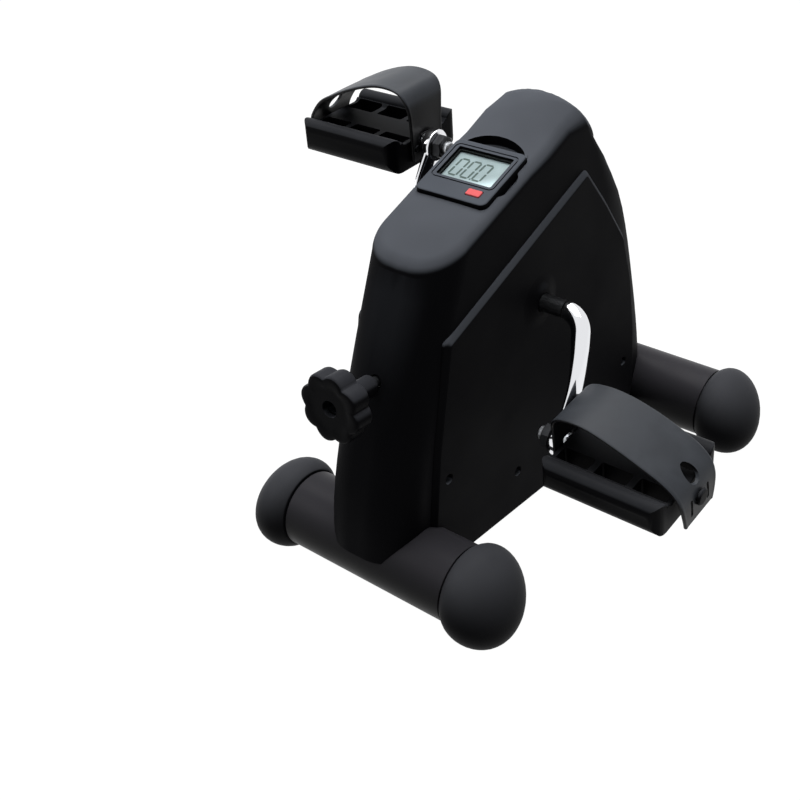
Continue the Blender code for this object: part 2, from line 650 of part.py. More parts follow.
def build_spindle(side, crank, eye_z):
    """Pedal bolt: thread in the crank's eye, collar, and the journal inside the pedal."""
    word = "left" if side < 0 else "right"
    collar = (ARM_X + EYE_THICKNESS / 2 + GAP) / MM
    profile = [(0, 168), (3.6, 168), (4.5, 167), (4.5, 94.2), (7, 94.2), (7, collar), (5, collar),
               (5, 71.4), (4.2, 70.6), (0, 70.6)]
    spindle = add_piece(f"{word}_pedal_spindle",
                        profile_mesh([(r * MM, a * MM) for r, a in profile]), "zinc_steel",
                        (0, 0, eye_z), crank, (0, side * math.pi / 2, 0))
    turn(spindle, 20)
    hexagon = circle(9.2 * MM, 6)
    bore = circle(SPINDLE_RADIUS + GAP, 20)
    nut = add_piece(f"{word}_spindle_nut", side_plate([hexagon, bore], 7 * MM), "zinc_steel",
                    (side * (ARM_X - EYE_THICKNESS / 2 - GAP - 3.5 * MM), 0, eye_z), crank)
    bevel(nut, 0.6 * MM)


def build_brake_wheel(crank):
    """Grooved nylon wheel keyed on the middle of the axle, with six lightening holes."""
    half = WHEEL_HALF / MM
    rim = WHEEL_RADIUS / MM
    right = [(rim - 1.2, half), (rim, half - 1), (rim, half - 1.6), (rim - 2, half - 1.8)]
    profile = [(12, half + 2), (12, half - 3), (rim - 8, half - 3), (rim - 8, half)] + right
    mirrored = [(r, -a) for r, a in reversed(profile)]
    ring = [(AXLE_RADIUS / MM + 0.3, half + 2)] + profile + mirrored
    ring.append((AXLE_RADIUS / MM + 0.3, -half - 2))
    wheel = add_piece("brake_wheel", profile_mesh([(r * MM, a * MM) for r, a in ring]),
                      "grey_nylon", parent=crank, rotation=(0, math.pi / 2, 0))
    turn(wheel, 32, closed=True)
    for i in range(6):
        angle = math.tau * (i + 0.5) / 6
        place = (0, 22.5 * MM * math.cos(angle), 22.5 * MM * math.sin(angle))
        hole = rod(6 * MM, -20 * MM, 20 * MM, segments=16)
        combine(wheel, add_cutter("lightening", hole, place, crank))
    magnet_place = (0, 0, -30 * MM)
    pocket = rod(3.3 * MM, 3.7 * MM, 20 * MM, segments=16)
    combine(wheel, add_cutter("magnet_pocket", pocket, magnet_place, crank))
    magnet = rod(3 * MM, 4 * MM, WHEEL_HALF + 0.5 * MM, segments=16)
    add_piece("wheel_magnet", magnet, "zinc_steel", magnet_place, crank)


def pedal_profile():
    """Side view of the pedal, (y, z): flat underneath, a raised round lip front and rear."""
    length = PEDAL_HALF_LENGTH / MM
    lip = circle(7, 7, (length - 7, 6.5), math.radians(-20), math.radians(180))
    right = [(length - 10, -14), (length - 4, -12), (length - 1, -6)] + lip + [(length - 17, 7)]
    left = [(-y, z) for y, z in reversed(right)]
    return [(y * MM, z * MM) for y, z in right + left]


def build_pedal(word, side, centre, pitch=0.0):
    """Moulded pedal with open windows between its ribs, and the strap over it."""
    pivot = add_empty(f"{word}_pedal_pivot", centre, datum, (pitch, 0, 0))
    middle = side * (PEDAL_INNER_X + PEDAL_WIDTH / 2)
    body = add_piece(f"{word}_pedal", side_plate([pedal_profile()], PEDAL_WIDTH), "black_abs",
                     parent=pivot)
    body.data.transform(Matrix.Translation((middle, 0, 0)))
    window_x = 24 * MM
    pitch = 29 * MM
    for row in (-1, 1):
        for column in (-1, 0, 1):
            window = box((window_x, 14 * MM, 60 * MM), (middle + column * pitch, row * 18.5 * MM, 0))
            combine(body, add_cutter("window", window, parent=pivot))
    bore = sorted((side * 80 * MM, side * 169 * MM))
    combine(body, add_cutter("journal", rod(4.55 * MM + GAP, *bore, segments=20), parent=pivot))
    for y in (-PEG_Y, PEG_Y):
        inner = sorted((side * (PEDAL_INNER_X - 3.7 * MM), side * (PEDAL_INNER_X + 2 * MM)))
        peg = rod(2.6 * MM, *inner, segments=12)
        combine(body, add_cutter("inner_peg", peg, (0, y, 0), pivot), "UNION")
    neck = sorted((side * (PEDAL_OUTER_X - 2 * MM), side * (PEDAL_OUTER_X + 9.4 * MM)))
    combine(body, add_cutter("peg_neck", rod(3.6 * MM, *neck, segments=16), parent=pivot), "UNION")
    head = sorted((side * (PEDAL_OUTER_X + 8.4 * MM), side * (PEDAL_OUTER_X + 10.8 * MM)))
    combine(body, add_cutter("peg_head", rod(6 * MM, *head, segments=16), parent=pivot), "UNION")
    build_strap(word, side, pivot)


STRAP_PATH = [(93, -9), (93, 8), (93, 23), (94.4, 32), (98.8, 37.6), (107, 40), (119, 40.2),
              (132, 37.8), (147, 33.2), (162, 27.2), (176, 20.6), (185.6, 12.6), (189.6, 4), (190.8, -6),
              (191, -15)]  # x, z from the spindle, middle of the band
STRAP_WIDTHS = [(0, 0.78), (0.1, 0.8), (0.24, 0.95), (0.4, 1.0), (0.6, 1.06), (0.85, 1.0), (1, 0.8)]


def build_strap(word, side, pivot):
    """Wide moulded band over the foot, from pegs on the inner side to a peg outside."""
    bm = bmesh.new()
    rows = []
    last = len(STRAP_PATH) - 1
    rise = LEFT_STRAP_RISE if side < 0 else 1.0
    for i, (x, z) in enumerate(STRAP_PATH):
        z *= rise if z > 20 else 1.0
        half = STRAP_HALF_WIDTH * through([(t, w / MM) for t, w in STRAP_WIDTHS], i / last * MM)
        rows.append([bm.verts.new((side * x * MM, half * k, z * MM)) for k in (-1, -0.33, 0.33, 1)])
    for low, high in zip(rows, rows[1:]):
        for k in range(3):
            bm.faces.new((low[k], low[k + 1], high[k + 1], high[k]))
    bmesh.ops.recalc_face_normals(bm, faces=bm.faces)
    strap = add_piece(f"{word}_strap", from_bmesh(bm, "strap", 40), "strap_pvc", parent=pivot)
    solid = strap.modifiers.new("Thickness", "SOLIDIFY")
    solid.thickness = STRAP_THICKNESS
    solid.offset = 0
    notch = box((12 * MM, 15.4 * MM, 40 * MM), (side * 93 * MM, 0, -10 * MM))
    combine(strap, add_cutter("collar_notch", notch, parent=pivot))
    for y in (-PEG_Y, PEG_Y):
        hole = sorted((side * 87 * MM, side * 99 * MM))
        combine(strap, add_cutter("inner_hole", rod(2.9 * MM, *hole, segments=12), (0, y, 0), pivot))
    for z in (0, 13 * MM):
        hole = sorted((side * 170 * MM, side * 200 * MM))
        combine(strap, add_cutter("strap_hole", rod(4 * MM, *hole, segments=16), (0, 0, z), pivot))


def knob_outline():
    """Round lobes with short hollows between them."""
    points = []
    for i in range(KNOB_LOBES * 7):
        angle = math.tau * i / (KNOB_LOBES * 7)
        wave = abs(math.sin(KNOB_LOBES * (angle + KNOB_PHASE) / 2))
        points.append((angle, KNOB_RADIUS - 2.8 * MM * (1 - wave ** 0.7)))
    return [(r * math.sin(a), r * math.cos(a)) for a, r in points]


def build_tension():
    """Knob, threaded rod and the block that it draws forward to tighten the belt."""
    knob_axis = add_empty("knob_axis", (0, 0, ROD_Z), datum)
    face = -KNOB_REACH
    knob = add_piece("tension_knob", front_plate([knob_outline()], KNOB_THICKNESS), "black_abs",
                     (0, face + KNOB_THICKNESS / 2, 0), knob_axis)
    bevel(knob, 1.6 * MM, 2, 50)
    wall = through(FRONT_WALL, ROD_Z - 9 * MM)
    hub = rod(8.2 * MM, face + KNOB_THICKNESS - 3 * MM, wall - 0.6 * MM, "Y", 20)
    combine(knob, add_cutter("hub", hub, parent=knob_axis), "UNION")
    recess = rod(5.6 * MM, face - 5 * MM, face + 5 * MM, "Y", 20)
    combine(knob, add_cutter("recess", recess, parent=knob_axis))
    bore = rod(ROD_RADIUS + GAP, face + 8 * MM, wall + 10 * MM, "Y", 16)
    combine(knob, add_cutter("bore", bore, parent=knob_axis))
    groove = 125 * MM
    start = -face - 8.4 * MM
    profile = [(0, start), (3.2 * MM, start), (ROD_RADIUS, start - 0.8 * MM), (ROD_RADIUS, groove),
               (3.1 * MM, groove), (3.1 * MM, groove - 1.4 * MM), (ROD_RADIUS, groove - 1.4 * MM),
               (ROD_RADIUS, 93 * MM), (3.2 * MM, 92.2 * MM), (0, 92.2 * MM)]
    threaded = add_piece("tension_rod", profile_mesh(profile), "zinc_steel", parent=knob_axis,
                         rotation=(math.pi / 2, 0, 0))
    turn(threaded, 16)
    clip_loops = [circle(7 * MM, 20, start=math.radians(-70), sweep=math.radians(320))
                  + list(reversed(circle(3.4 * MM, 16, start=math.radians(-70),
                                         sweep=math.radians(320))))]
    add_piece("rod_clip", front_plate(clip_loops, 0.8 * MM), "zinc_steel",
              (0, -groove + 0.7 * MM, 0), knob_axis)
    build_bracket()
    build_carriage()
    build_belt()


BRACKET_FRONT = -130 * MM


def build_bracket():
    """U-shaped steel channel between the uprights, with the rod's bush in its web."""
    outer, inner, back = 19 * MM, 17 * MM, -56 * MM
    loop = [(-outer, back), (-outer, BRACKET_FRONT), (outer, BRACKET_FRONT), (outer, back),
            (inner, back), (inner, BRACKET_FRONT + 2 * MM), (-inner, BRACKET_FRONT + 2 * MM),
            (-inner, back)]
    bracket = add_piece("tension_bracket", mesh_from_curve(outline_curve([loop], 40 * MM)),
                        "satin_black_steel", (0, 0, 178 * MM))
    way = rod(5.4 * MM + GAP, -140 * MM, -120 * MM, "Y", 20)
    combine(bracket, add_cutter("bush_way", way, (0, 0, ROD_Z)))
    pin_way = rod(2.5 * MM + GAP, -30 * MM, 30 * MM, segments=16)
    combine(bracket, add_cutter("pin_way", pin_way, (0, -112 * MM, 191 * MM)))
    add_piece("belt_anchor_pin", rod(2.5 * MM, -18.8 * MM, 18.8 * MM, segments=16), "zinc_steel",
              (0, -112 * MM, 191 * MM))
    ring = [(4.3, 133), (9, 133), (9, 130.3), (5.4, 130.3), (5.4, 127), (4.3, 127)]
    bush = add_piece("rod_bush", profile_mesh([(r * MM, a * MM) for r, a in ring]), "grey_nylon",
                     (0, 0, ROD_Z), rotation=(math.pi / 2, 0, 0))
    turn(bush, 20, closed=True)


def build_carriage():
    """Nut block on the rod, with a leg that the belt's spring hooks on."""
    loop = [(-13, 164), (-5, 160), (-5, 143), (5, 143), (5, 160), (13, 164), (13, 182), (-13, 182)]
    block = add_piece("tension_carriage",
                      front_plate([[(x * MM, z * MM) for x, z in loop]], 9 * MM), "grey_nylon",
                      (0, -108 * MM, 0))
    bore = rod(ROD_RADIUS + GAP, -20 * MM, 20 * MM, "Y", 16)
    combine(block, add_cutter("nut_bore", bore, (0, -108 * MM, ROD_Z)))


def build_belt():
    """Felt-lined belt from the anchor pin over the wheel and forward to its spring."""
    radius = (WHEEL_RADIUS - 2 * MM) + GAP + 1.0 * MM
    anchor = (-112 * MM, 191 * MM)
    reach = CRANK_Y - anchor[0]
    touch = math.acos(radius / reach)
    path = [(anchor[0] + 3.4 * MM, anchor[1] + 1.2 * MM)]
    path += circle(radius, 19, (CRANK_Y, CRANK_Z), math.pi - touch, touch - 1.5 * math.pi)
    path.append((-86 * MM, CRANK_Z - radius))
    half = 0.9 * MM
    sides = ([], [])
    for i, point in enumerate(path):
        before = Vector(path[max(i - 1, 0)])
        after = Vector(path[min(i + 1, len(path) - 1)])
        along = (after - before).normalized()
        normal = Vector((-along.y, along.x)) * half
        sides[0].append(tuple(Vector(point) + normal))
        sides[1].append(tuple(Vector(point) - normal))
    loop = sides[0] + list(reversed(sides[1]))
    belt = add_piece("friction_belt", side_plate([loop], 11 * MM), "felt")
    lug = rod(4.6 * MM, -5.5 * MM, 5.5 * MM, segments=16)
    combine(belt, add_cutter("lug", lug, (0, *anchor)), "UNION")
    combine(belt, add_cutter("lug_hole", rod(2.8 * MM, -9 * MM, 9 * MM, segments=16), (0, *anchor)))
    front, rear = -103.2 * MM, -86.4 * MM
    turns, step = 5, 8
    curve = bpy.data.curves.new("coil", "CURVE")
    curve.dimensions = "3D"
    curve.bevel_depth = 0.55 * MM
    curve.bevel_resolution = 0
    curve.use_fill_caps = True
    spline = curve.splines.new("POLY")
    count = turns * step + 1
    spline.points.add(count - 1)
    for i, point in enumerate(spline.points):
        angle = math.tau * i / step
        inset = 0.6 * MM
        y = lerp(front + inset, rear - inset, i / (count - 1))
        z = CRANK_Z - radius + 3 * MM * math.cos(angle)
        point.co = (3 * MM * math.sin(angle), y, z, 1)
    add_piece("belt_spring", curve, "zinc_steel")


def build_sensor():
    """Reed switch beside the wheel, and its wire up to the monitor."""
    sensor = add_piece("reed_sensor", box((7 * MM, 8 * MM, 16 * MM)), "black_abs",
                       (15.6 * MM, CRANK_Y + 8 * MM, CRANK_Z - 36 * MM))
    bevel(sensor, 0.8 * MM)
    route = [(15.6, -31, 164.4), (15.2, -34, 172), (14, -50, 178), (13.6, -62, 190), (13.6, -66, 210),
             (13, -68, 232), (11, -68, 250), (9, -66, 262), (8, -65.2, 267.6)]
    curve = bpy.data.curves.new("wire", "CURVE")
    curve.dimensions = "3D"
    curve.bevel_depth = 1.1 * MM
    curve.bevel_resolution = 1
    curve.use_fill_caps = True
    spline = curve.splines.new("POLY")
    count = 25
    spline.points.add(count - 1)
    for i, point in enumerate(spline.points):
        t = i / (count - 1) * (len(route) - 1) * MM
        place = [through([(k, p[axis]) for k, p in enumerate(route)], t) for axis in range(3)]
        point.co = (*place, 1)
    add_piece("sensor_wire", curve, "black_rubber")


def monitor_seat():
    return add_empty("monitor_seat", (0, MONITOR_Y, MONITOR_Z), datum, (MONITOR_TILT, 0, 0))


def build_monitor():
    """Monitor case with its display, button and what is inside."""
    seat = monitor_seat()
    case_loop = rounded_rectangle(MONITOR_WIDTH, MONITOR_LENGTH, 4.5 * MM)
    case = add_piece("monitor_case", mesh_from_curve(outline_curve([case_loop], MONITOR_DEPTH)),
                     "black_abs", parent=seat)
    case.data.transform(Matrix.Translation((0, 0, -MONITOR_DEPTH / 2)))
    bevel(case, 1.2 * MM, 2, 60)
    cavity = box((MONITOR_WIDTH - 3.4 * MM, MONITOR_LENGTH - 3.4 * MM, MONITOR_DEPTH),
                 (0, 0, -MONITOR_DEPTH / 2 - 2 * MM))
    combine(case, add_cutter("case_inside", cavity, parent=seat))
    window = box((DISPLAY_SIZE[0] + 0.8 * MM, DISPLAY_SIZE[1] + 0.8 * MM, 20 * MM),
                 (0, DISPLAY_Y, 0))
    combine(case, add_cutter("display_opening", window, parent=seat))
    key_way = box((BUTTON_SIZE[0] + 0.8 * MM, BUTTON_SIZE[1] + 0.8 * MM, 20 * MM),
                  (*BUTTON_PLACE, 0))
    combine(case, add_cutter("button_opening", key_way, parent=seat))
    slab("display_window", (*DISPLAY_SIZE, 1.3 * MM), (0, DISPLAY_Y, -1.1 * MM), "display_glass",
         seat)
    slab("lcd_panel", (47 * MM, 31 * MM, 2.4 * MM), (0, DISPLAY_Y, -3.6 * MM), "lcd", seat)
    slab("circuit_board", (52 * MM, 48 * MM, 1.4 * MM), (0, 0, -8 * MM), "board_green", seat)
    slab("monitor_back", (52.6 * MM, 48.9 * MM, 1.8 * MM), (0, 0, -16 * MM), "black_abs", seat)
    add_piece("button_cell", rod(5.8 * MM, -14.6 * MM, -9.4 * MM, "Z"), "zinc_steel",
              (-10 * MM, -8 * MM, 0), seat)
    button_axis = add_empty("button_axis", (*BUTTON_PLACE, 0), seat)
    cap = add_piece("mode_button", box((*BUTTON_SIZE, 5.8 * MM), (0, 0, -2.1 * MM)), "red_button",
                    parent=button_axis)
    bevel(cap, 0.6 * MM, 2)
    flange = box((BUTTON_SIZE[0] + 2.2 * MM, BUTTON_SIZE[1] + 2 * MM, 1.2 * MM), (0, 0, -3 * MM))
    combine(cap, add_cutter("button_flange", flange, parent=button_axis), "UNION")


def slab(name, size, centre, finish, parent):
    obj = add_piece(name, box(size), finish, centre, parent)
    bevel(obj, min(0.4 * MM, size[2] / 4))
    return obj


def build_bike():
    clear_scene()
    build_foot_tube("front_foot_tube", FRONT_Y, FRONT_TUBE_HALF)
    build_foot_tube("rear_foot_tube", REAR_Y, REAR_TUBE_HALF)
    for end, y, half in (("front", FRONT_Y, FRONT_TUBE_HALF), ("rear", REAR_Y, REAR_TUBE_HALF)):
        for word, side in (("left", -1), ("right", 1)):
            build_end_cap(f"{end}_{word}_end_cap", side, y, half)
    build_frame()
    build_housing()
    crank = add_empty("crank_pivot", (0, CRANK_Y, CRANK_Z), datum, (-CRANK_LEAN, 0, 0))
    build_crank(crank)
    offset = Vector((0, math.sin(CRANK_LEAN), math.cos(CRANK_LEAN))) * CRANK_RADIUS
    build_pedal("left", -1, Vector((0, CRANK_Y, CRANK_Z)) + offset, LEFT_PEDAL_PITCH)
    build_pedal("right", 1, Vector((0, CRANK_Y, CRANK_Z)) - offset, RIGHT_PEDAL_PITCH)
    build_tension()
    build_sensor()
    build_monitor()


build_bike()
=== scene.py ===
"""Looks of the mini exercise bike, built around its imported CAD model.

Meshes and their places are in millimetres, +Z up, the user at -Y, from a datum on the floor
midway between the two foot tubes. place_piece turns a mesh to the frame's metres and origin.
Patterns, lamps and the sizes in the sidebar are in metres.
"""
import math

import bmesh
import bpy
from bpy.props import FloatProperty, FloatVectorProperty, PointerProperty
from mathutils import Matrix, Vector


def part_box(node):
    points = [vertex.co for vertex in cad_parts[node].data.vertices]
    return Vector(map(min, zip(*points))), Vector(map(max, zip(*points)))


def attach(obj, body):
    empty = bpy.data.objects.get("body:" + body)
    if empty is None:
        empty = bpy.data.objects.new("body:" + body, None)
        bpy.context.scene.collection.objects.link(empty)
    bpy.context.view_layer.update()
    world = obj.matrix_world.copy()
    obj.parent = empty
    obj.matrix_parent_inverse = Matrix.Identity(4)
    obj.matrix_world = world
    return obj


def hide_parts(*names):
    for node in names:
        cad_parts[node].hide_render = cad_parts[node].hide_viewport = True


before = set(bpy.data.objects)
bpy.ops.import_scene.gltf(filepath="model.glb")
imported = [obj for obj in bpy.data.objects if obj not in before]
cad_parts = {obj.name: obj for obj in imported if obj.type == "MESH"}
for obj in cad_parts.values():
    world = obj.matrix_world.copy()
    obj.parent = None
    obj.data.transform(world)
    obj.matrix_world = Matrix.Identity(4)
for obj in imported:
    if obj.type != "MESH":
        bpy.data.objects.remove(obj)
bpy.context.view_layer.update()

bl_info = {
    "name": "Mini exercise bike",
    "version": (1, 0, 0),
    "blender": (4, 5, 0),
    "location": "3D View > Sidebar > Exercise bike",
    "description": "Builds the visible pieces and finishes of a mini exercise bike",
    "category": "Add Mesh",
}

MM = 0.001
BODY, CRANKS, KNOB, BUTTON = "bike_body", "crank_set", "tension_knob_set", "mode_button_set"
PEDALS = {"left": "left_pedal_set", "right": "right_pedal_set"}
SIDES = {"left": -1, "right": 1}
JOIN, CUT, KEEP = "UNION", "DIFFERENCE", "INTERSECT"


def middle_of(node):
    """Middle of a CAD node's box, in millimetres."""
    low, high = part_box(node)
    return (low + high) / 2 / MM


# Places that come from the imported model
CRANK = middle_of("crank_axle")
FRONT_TUBE_Y, REAR_TUBE_Y = middle_of("front_foot_tube").y, middle_of("rear_foot_tube").y
DATUM_Y = (FRONT_TUBE_Y + REAR_TUBE_Y) / 2
FRONT_Y, REAR_Y = FRONT_TUBE_Y - DATUM_Y, REAR_TUBE_Y - DATUM_Y
AXLE = (0, CRANK.y - DATUM_Y, CRANK.z)


def linear(code):
    """Linear colour of an sRGB hex value."""
    channels = [int(code[i:i + 2], 16) / 255 for i in (1, 3, 5)]
    return tuple(c / 12.92 if c <= 0.04045 else ((c + 0.055) / 1.055) ** 2.4 for c in channels)


def colour_setting(name, description, code):
    """A colour that the user can change."""
    return FloatVectorProperty(name=name, description=description, default=linear(code), size=3,
                               min=0, max=1, subtype="COLOR")


class BikeColours(bpy.types.PropertyGroup):
    """Colours of the finishes, with painted lighter tones on faces that look up, for the overhead
    light.
    """

    plastic: colour_setting("Plastic", "Upright faces of every black plastic part", "#08080a")
    # The _top colours are painted light from overhead, put on the faces that look up.
    housing_top: colour_setting("Housing top", "Housing where it looks up", "#4f5258")
    cap_top: colour_setting("Cap top", "End caps where they look up", "#45464a")
    pedal_top: colour_setting("Pedal top", "Pedals where they look up", "#2c2d30")
    knob_top: colour_setting("Knob top", "Tension knob where it looks up", "#313236")
    bezel_top: colour_setting("Bezel", "Face of the monitor", "#4d5158")
    strap_top: colour_setting("Strap top", "Straps where they look up", "#3a3d42")
    steel: colour_setting("Powder coat", "Sides of the coated steel", "#09090a")
    steel_top: colour_setting("Powder coat top", "Coated steel where it looks up", "#343337")
    display: colour_setting("Display", "Ground of the display", "#a6b0b7")
    segment: colour_setting("Digits", "Bars of the digits", "#54605f")
    button: colour_setting("Button", "Mode button", "#da6466")


class BikeSizes(bpy.types.PropertyGroup):
    """Sizes of the visible pieces that the CAD model leaves open."""

    corner_rounding: FloatProperty(
        name="Corner rounding", description="Rounding of the raised side face's corners",
        default=4 * MM, min=0, unit="LENGTH")
    face_chamfer: FloatProperty(
        name="Face chamfer", description="Width of the slope round the raised side face",
        default=4 * MM, min=0, unit="LENGTH")
    knob_depth: FloatProperty(
        name="Grip depth", description="Depth of the hollows between the knob's lobes",
        default=3.2 * MM, min=0, unit="LENGTH")


class BikeStageSettings(bpy.types.PropertyGroup):
    """Lamps and fill of the stage."""

    top_power: FloatProperty(
        name="Overhead power", description="Power of the large lamp overhead",
        default=27.0, min=0, unit="POWER")
    front_power: FloatProperty(
        name="Front power", description="Power of the soft lamp at the front left",
        default=5.0, min=0, unit="POWER")
    sky: FloatProperty(
        name="Fill", description="Strength of the light from all round",
        default=0.11, min=0, max=1, subtype="FACTOR")


def add_object(name, data):
    made = bpy.data.objects.new(name, data)
    bpy.context.scene.collection.objects.link(made)
    return made


# Finishes

def add_node(tree, kind, inputs=None, **settings):
    """Adds one node with its settings, and with values or links on its inputs. A link comes
    from a socket, or from the first output of a node."""
    node = tree.nodes.new(kind)
    for key, value in settings.items():
        setattr(node, key, value)
    for key, value in (inputs or {}).items():
        if isinstance(value, bpy.types.Node):
            value = value.outputs[0]
        if isinstance(value, bpy.types.NodeSocket):
            tree.links.new(value, node.inputs[key])
        else:
            node.inputs[key].default_value = value
    return node


def empty_tree(owner):
    """The node tree of a material or a world, with nothing in it."""
    owner.use_nodes = True
    owner.node_tree.nodes.clear()
    return owner.node_tree


def start_material(name):
    """A material, its empty tree, and the place on the object in metres for its patterns."""
    made = bpy.data.materials.new(name)
    tree = empty_tree(made)
    return made, tree, add_node(tree, "ShaderNodeTexCoord").outputs["Object"]


def end_material(made, kind, inputs):
    """The material with its shader, which goes to the surface."""
    shader = add_node(made.node_tree, kind, inputs)
    add_node(made.node_tree, "ShaderNodeOutputMaterial", {"Surface": shader})
    return made


NOISE_SPAN = {"From Min": 0.3, "From Max": 0.7}  # nearly all of a noise lies between these


def painted_top_light(tree, colour, painted_top_colour, low, high):
    """The colour on upright faces, and a painted lighter tone on those that look up: painted light
    from overhead. Low and high are the normal's height where the change starts and ends."""
    normal = add_node(tree, "ShaderNodeTexCoord").outputs["Normal"]
    height = add_node(tree, "ShaderNodeSeparateXYZ", {0: normal}).outputs["Z"]
    share = add_node(tree, "ShaderNodeMapRange", {
        "Value": height, "From Min": low, "From Max": high}, interpolation_type="SMOOTHSTEP")
    # Painted light: the mix turns faces that look up to the lighter colour, as if lit from above.
    return add_node(tree, "ShaderNodeMixRGB", {
        "Fac": share, "Color1": (*colour, 1), "Color2": (*painted_top_colour, 1)})


def textured(made, colour, broad, tones, gloss, fine, strength, height, others,
             span=NOISE_SPAN):
    """The material with a broad pattern in its tone and in its gloss, where they are given,
    and a fine one that stands out by a height in mm; others are the shader's set values."""
    tree, inputs = made.node_tree, dict(others)
    if tones:
        tone = add_node(tree, "ShaderNodeMapRange", {
            "Value": broad, **span, "To Min": tones[0], "To Max": tones[1]})
        colour = add_node(tree, "ShaderNodeVectorMath", {0: colour, "Scale": tone},
                          operation="SCALE")
    if gloss:
        inputs["Roughness"] = add_node(tree, "ShaderNodeMapRange", {
            "Value": broad, **span, "To Min": gloss[0], "To Max": gloss[1]})
    bump = add_node(tree, "ShaderNodeBump", {
        "Strength": strength, "Distance": height * MM, "Height": fine})
    return end_material(made, "ShaderNodeBsdfPrincipled", {
        "Base Color": colour, "Normal": bump, **inputs})


def moulded_plastic(name, colour, roughness, grain, painted_top_colour, film=(0.24, 0.58)):
    """Moulded ABS, and the nylon and silicone parts: the spark-eroded mould leaves a matte
    grain. A real one, 0.1 to 0.3 mm wide, is too fine to show, so it is drawn at the larger
    size given in mm. The faces that look up take a painted lighter tone, painted light from
    overhead; film holds the normal's heights where that painted light starts and ends."""
    made, tree, where = start_material(name)
    texture = add_node(tree, "ShaderNodeTexNoise", {
        "Vector": where, "Scale": 1 / (grain * MM), "Detail": 3.0, "Roughness": 0.6})
    patches = add_node(tree, "ShaderNodeTexNoise", {
        "Vector": where, "Scale": 1 / (55 * MM), "Detail": 2.0})
    return textured(made, painted_top_light(tree, colour, painted_top_colour, *film), patches, (0.9, 1.12),
                    (roughness - 0.05, roughness + 0.05), texture, 0.3, 0.06,
                    {"IOR": 1.53, "Specular IOR Level": 0.02})


def powder_coat(name, colour, roughness, painted_top_colour):
    """Powder-coated steel: the film flows before it sets, into a shallow orange peel. Its upper
    side takes a painted lighter tone, painted light from overhead."""
    made, tree, where = start_material(name)
    peel = add_node(tree, "ShaderNodeTexNoise", {
        "Vector": where, "Scale": 1 / (1.8 * MM), "Detail": 1.0})
    dust = add_node(tree, "ShaderNodeTexNoise", {
        "Vector": where, "Scale": 1 / (30 * MM), "Detail": 3.0})
    return textured(made, painted_top_light(tree, colour, painted_top_colour, -0.25, 0.9), dust, None,
                    (roughness - 0.04, roughness + 0.06), peel, 0.25, 0.05,
                    {"Specular IOR Level": 0.06}, {"From Min": 0.35, "From Max": 0.7})


def plated_metal(name, colour, roughness, streak, depth):
    """Plated steel, chrome or zinc, and blackened steel: a thin film over the draw lines of
    the bar. Real ones, about 0.1 mm apart, are too fine to show, so they are drawn at the
    wider spacing given in mm, with their depth."""
    made, tree, where = start_material(name)
    fine = 1 / (streak * MM)
    stretched = add_node(tree, "ShaderNodeMapping", {
        "Vector": where, "Scale": (fine / 8, fine, fine)})
    lines = add_node(tree, "ShaderNodeTexNoise", {
        "Vector": stretched, "Scale": 1.0, "Detail": 3.0})
    return textured(made, (*colour, 1), lines, None, (roughness * 0.75, roughness * 1.3),
                    lines, 0.2, depth, {"Metallic": 1.0})


def flexible_pvc(name, colour, roughness, painted_top_colour):
    """Flexible PVC, moulded: half gloss, with a faint flow pattern, an embossed grain of about
    1 mm, and a painted lighter tone, painted light from overhead, where it looks up."""
    made, tree, where = start_material(name)
    flow = add_node(tree, "ShaderNodeTexNoise", {
        "Vector": where, "Scale": 1 / (20 * MM), "Detail": 4.0, "Distortion": 0.6})
    grain = add_node(tree, "ShaderNodeTexVoronoi", {
        "Vector": where, "Scale": 1 / (1.1 * MM)}, feature="SMOOTH_F1")
    return textured(made, painted_top_light(tree, colour, painted_top_colour, 0.0, 0.32), flow, (0.88, 1.12),
                    (roughness - 0.05, roughness + 0.06), grain, 0.15, 0.05,
                    {"IOR": 1.53, "Specular IOR Level": 0.12})


def wool_felt(name, colour):
    """Pressed wool felt: matted fibres with a soft nap. Single fibres are too fine to show, so
    the pattern is drawn as tufts of 0.8 mm."""
    made, tree, where = start_material(name)
    fibres = add_node(tree, "ShaderNodeTexNoise", {
        "Vector": where, "Scale": 1 / (0.8 * MM), "Detail": 6.0, "Distortion": 2.0})
    return textured(made, colour, fibres, (0.7, 1.25), None, fibres, 0.8, 0.3,
                    {"Roughness": 0.95, "Sheen Weight": 0.3})


def clear_acrylic(name):
    """Cast acrylic window, polished, thin and clear: it passes light straight through, with a
    trace of grey-green from the polariser and the faint marks of wiping."""
    made, tree, where = start_material(name)
    wipes = add_node(tree, "ShaderNodeTexNoise", {
        "Vector": where, "Scale": 1 / (6 * MM), "Detail": 3.0})
    return end_material(made, "ShaderNodeBsdfTransparent", {
        "Color": add_node(tree, "ShaderNodeMixRGB", {
            "Fac": wipes, "Color1": (*linear("#f6faf8"), 1),
            "Color2": (*linear("#fdfffe"), 1)})})


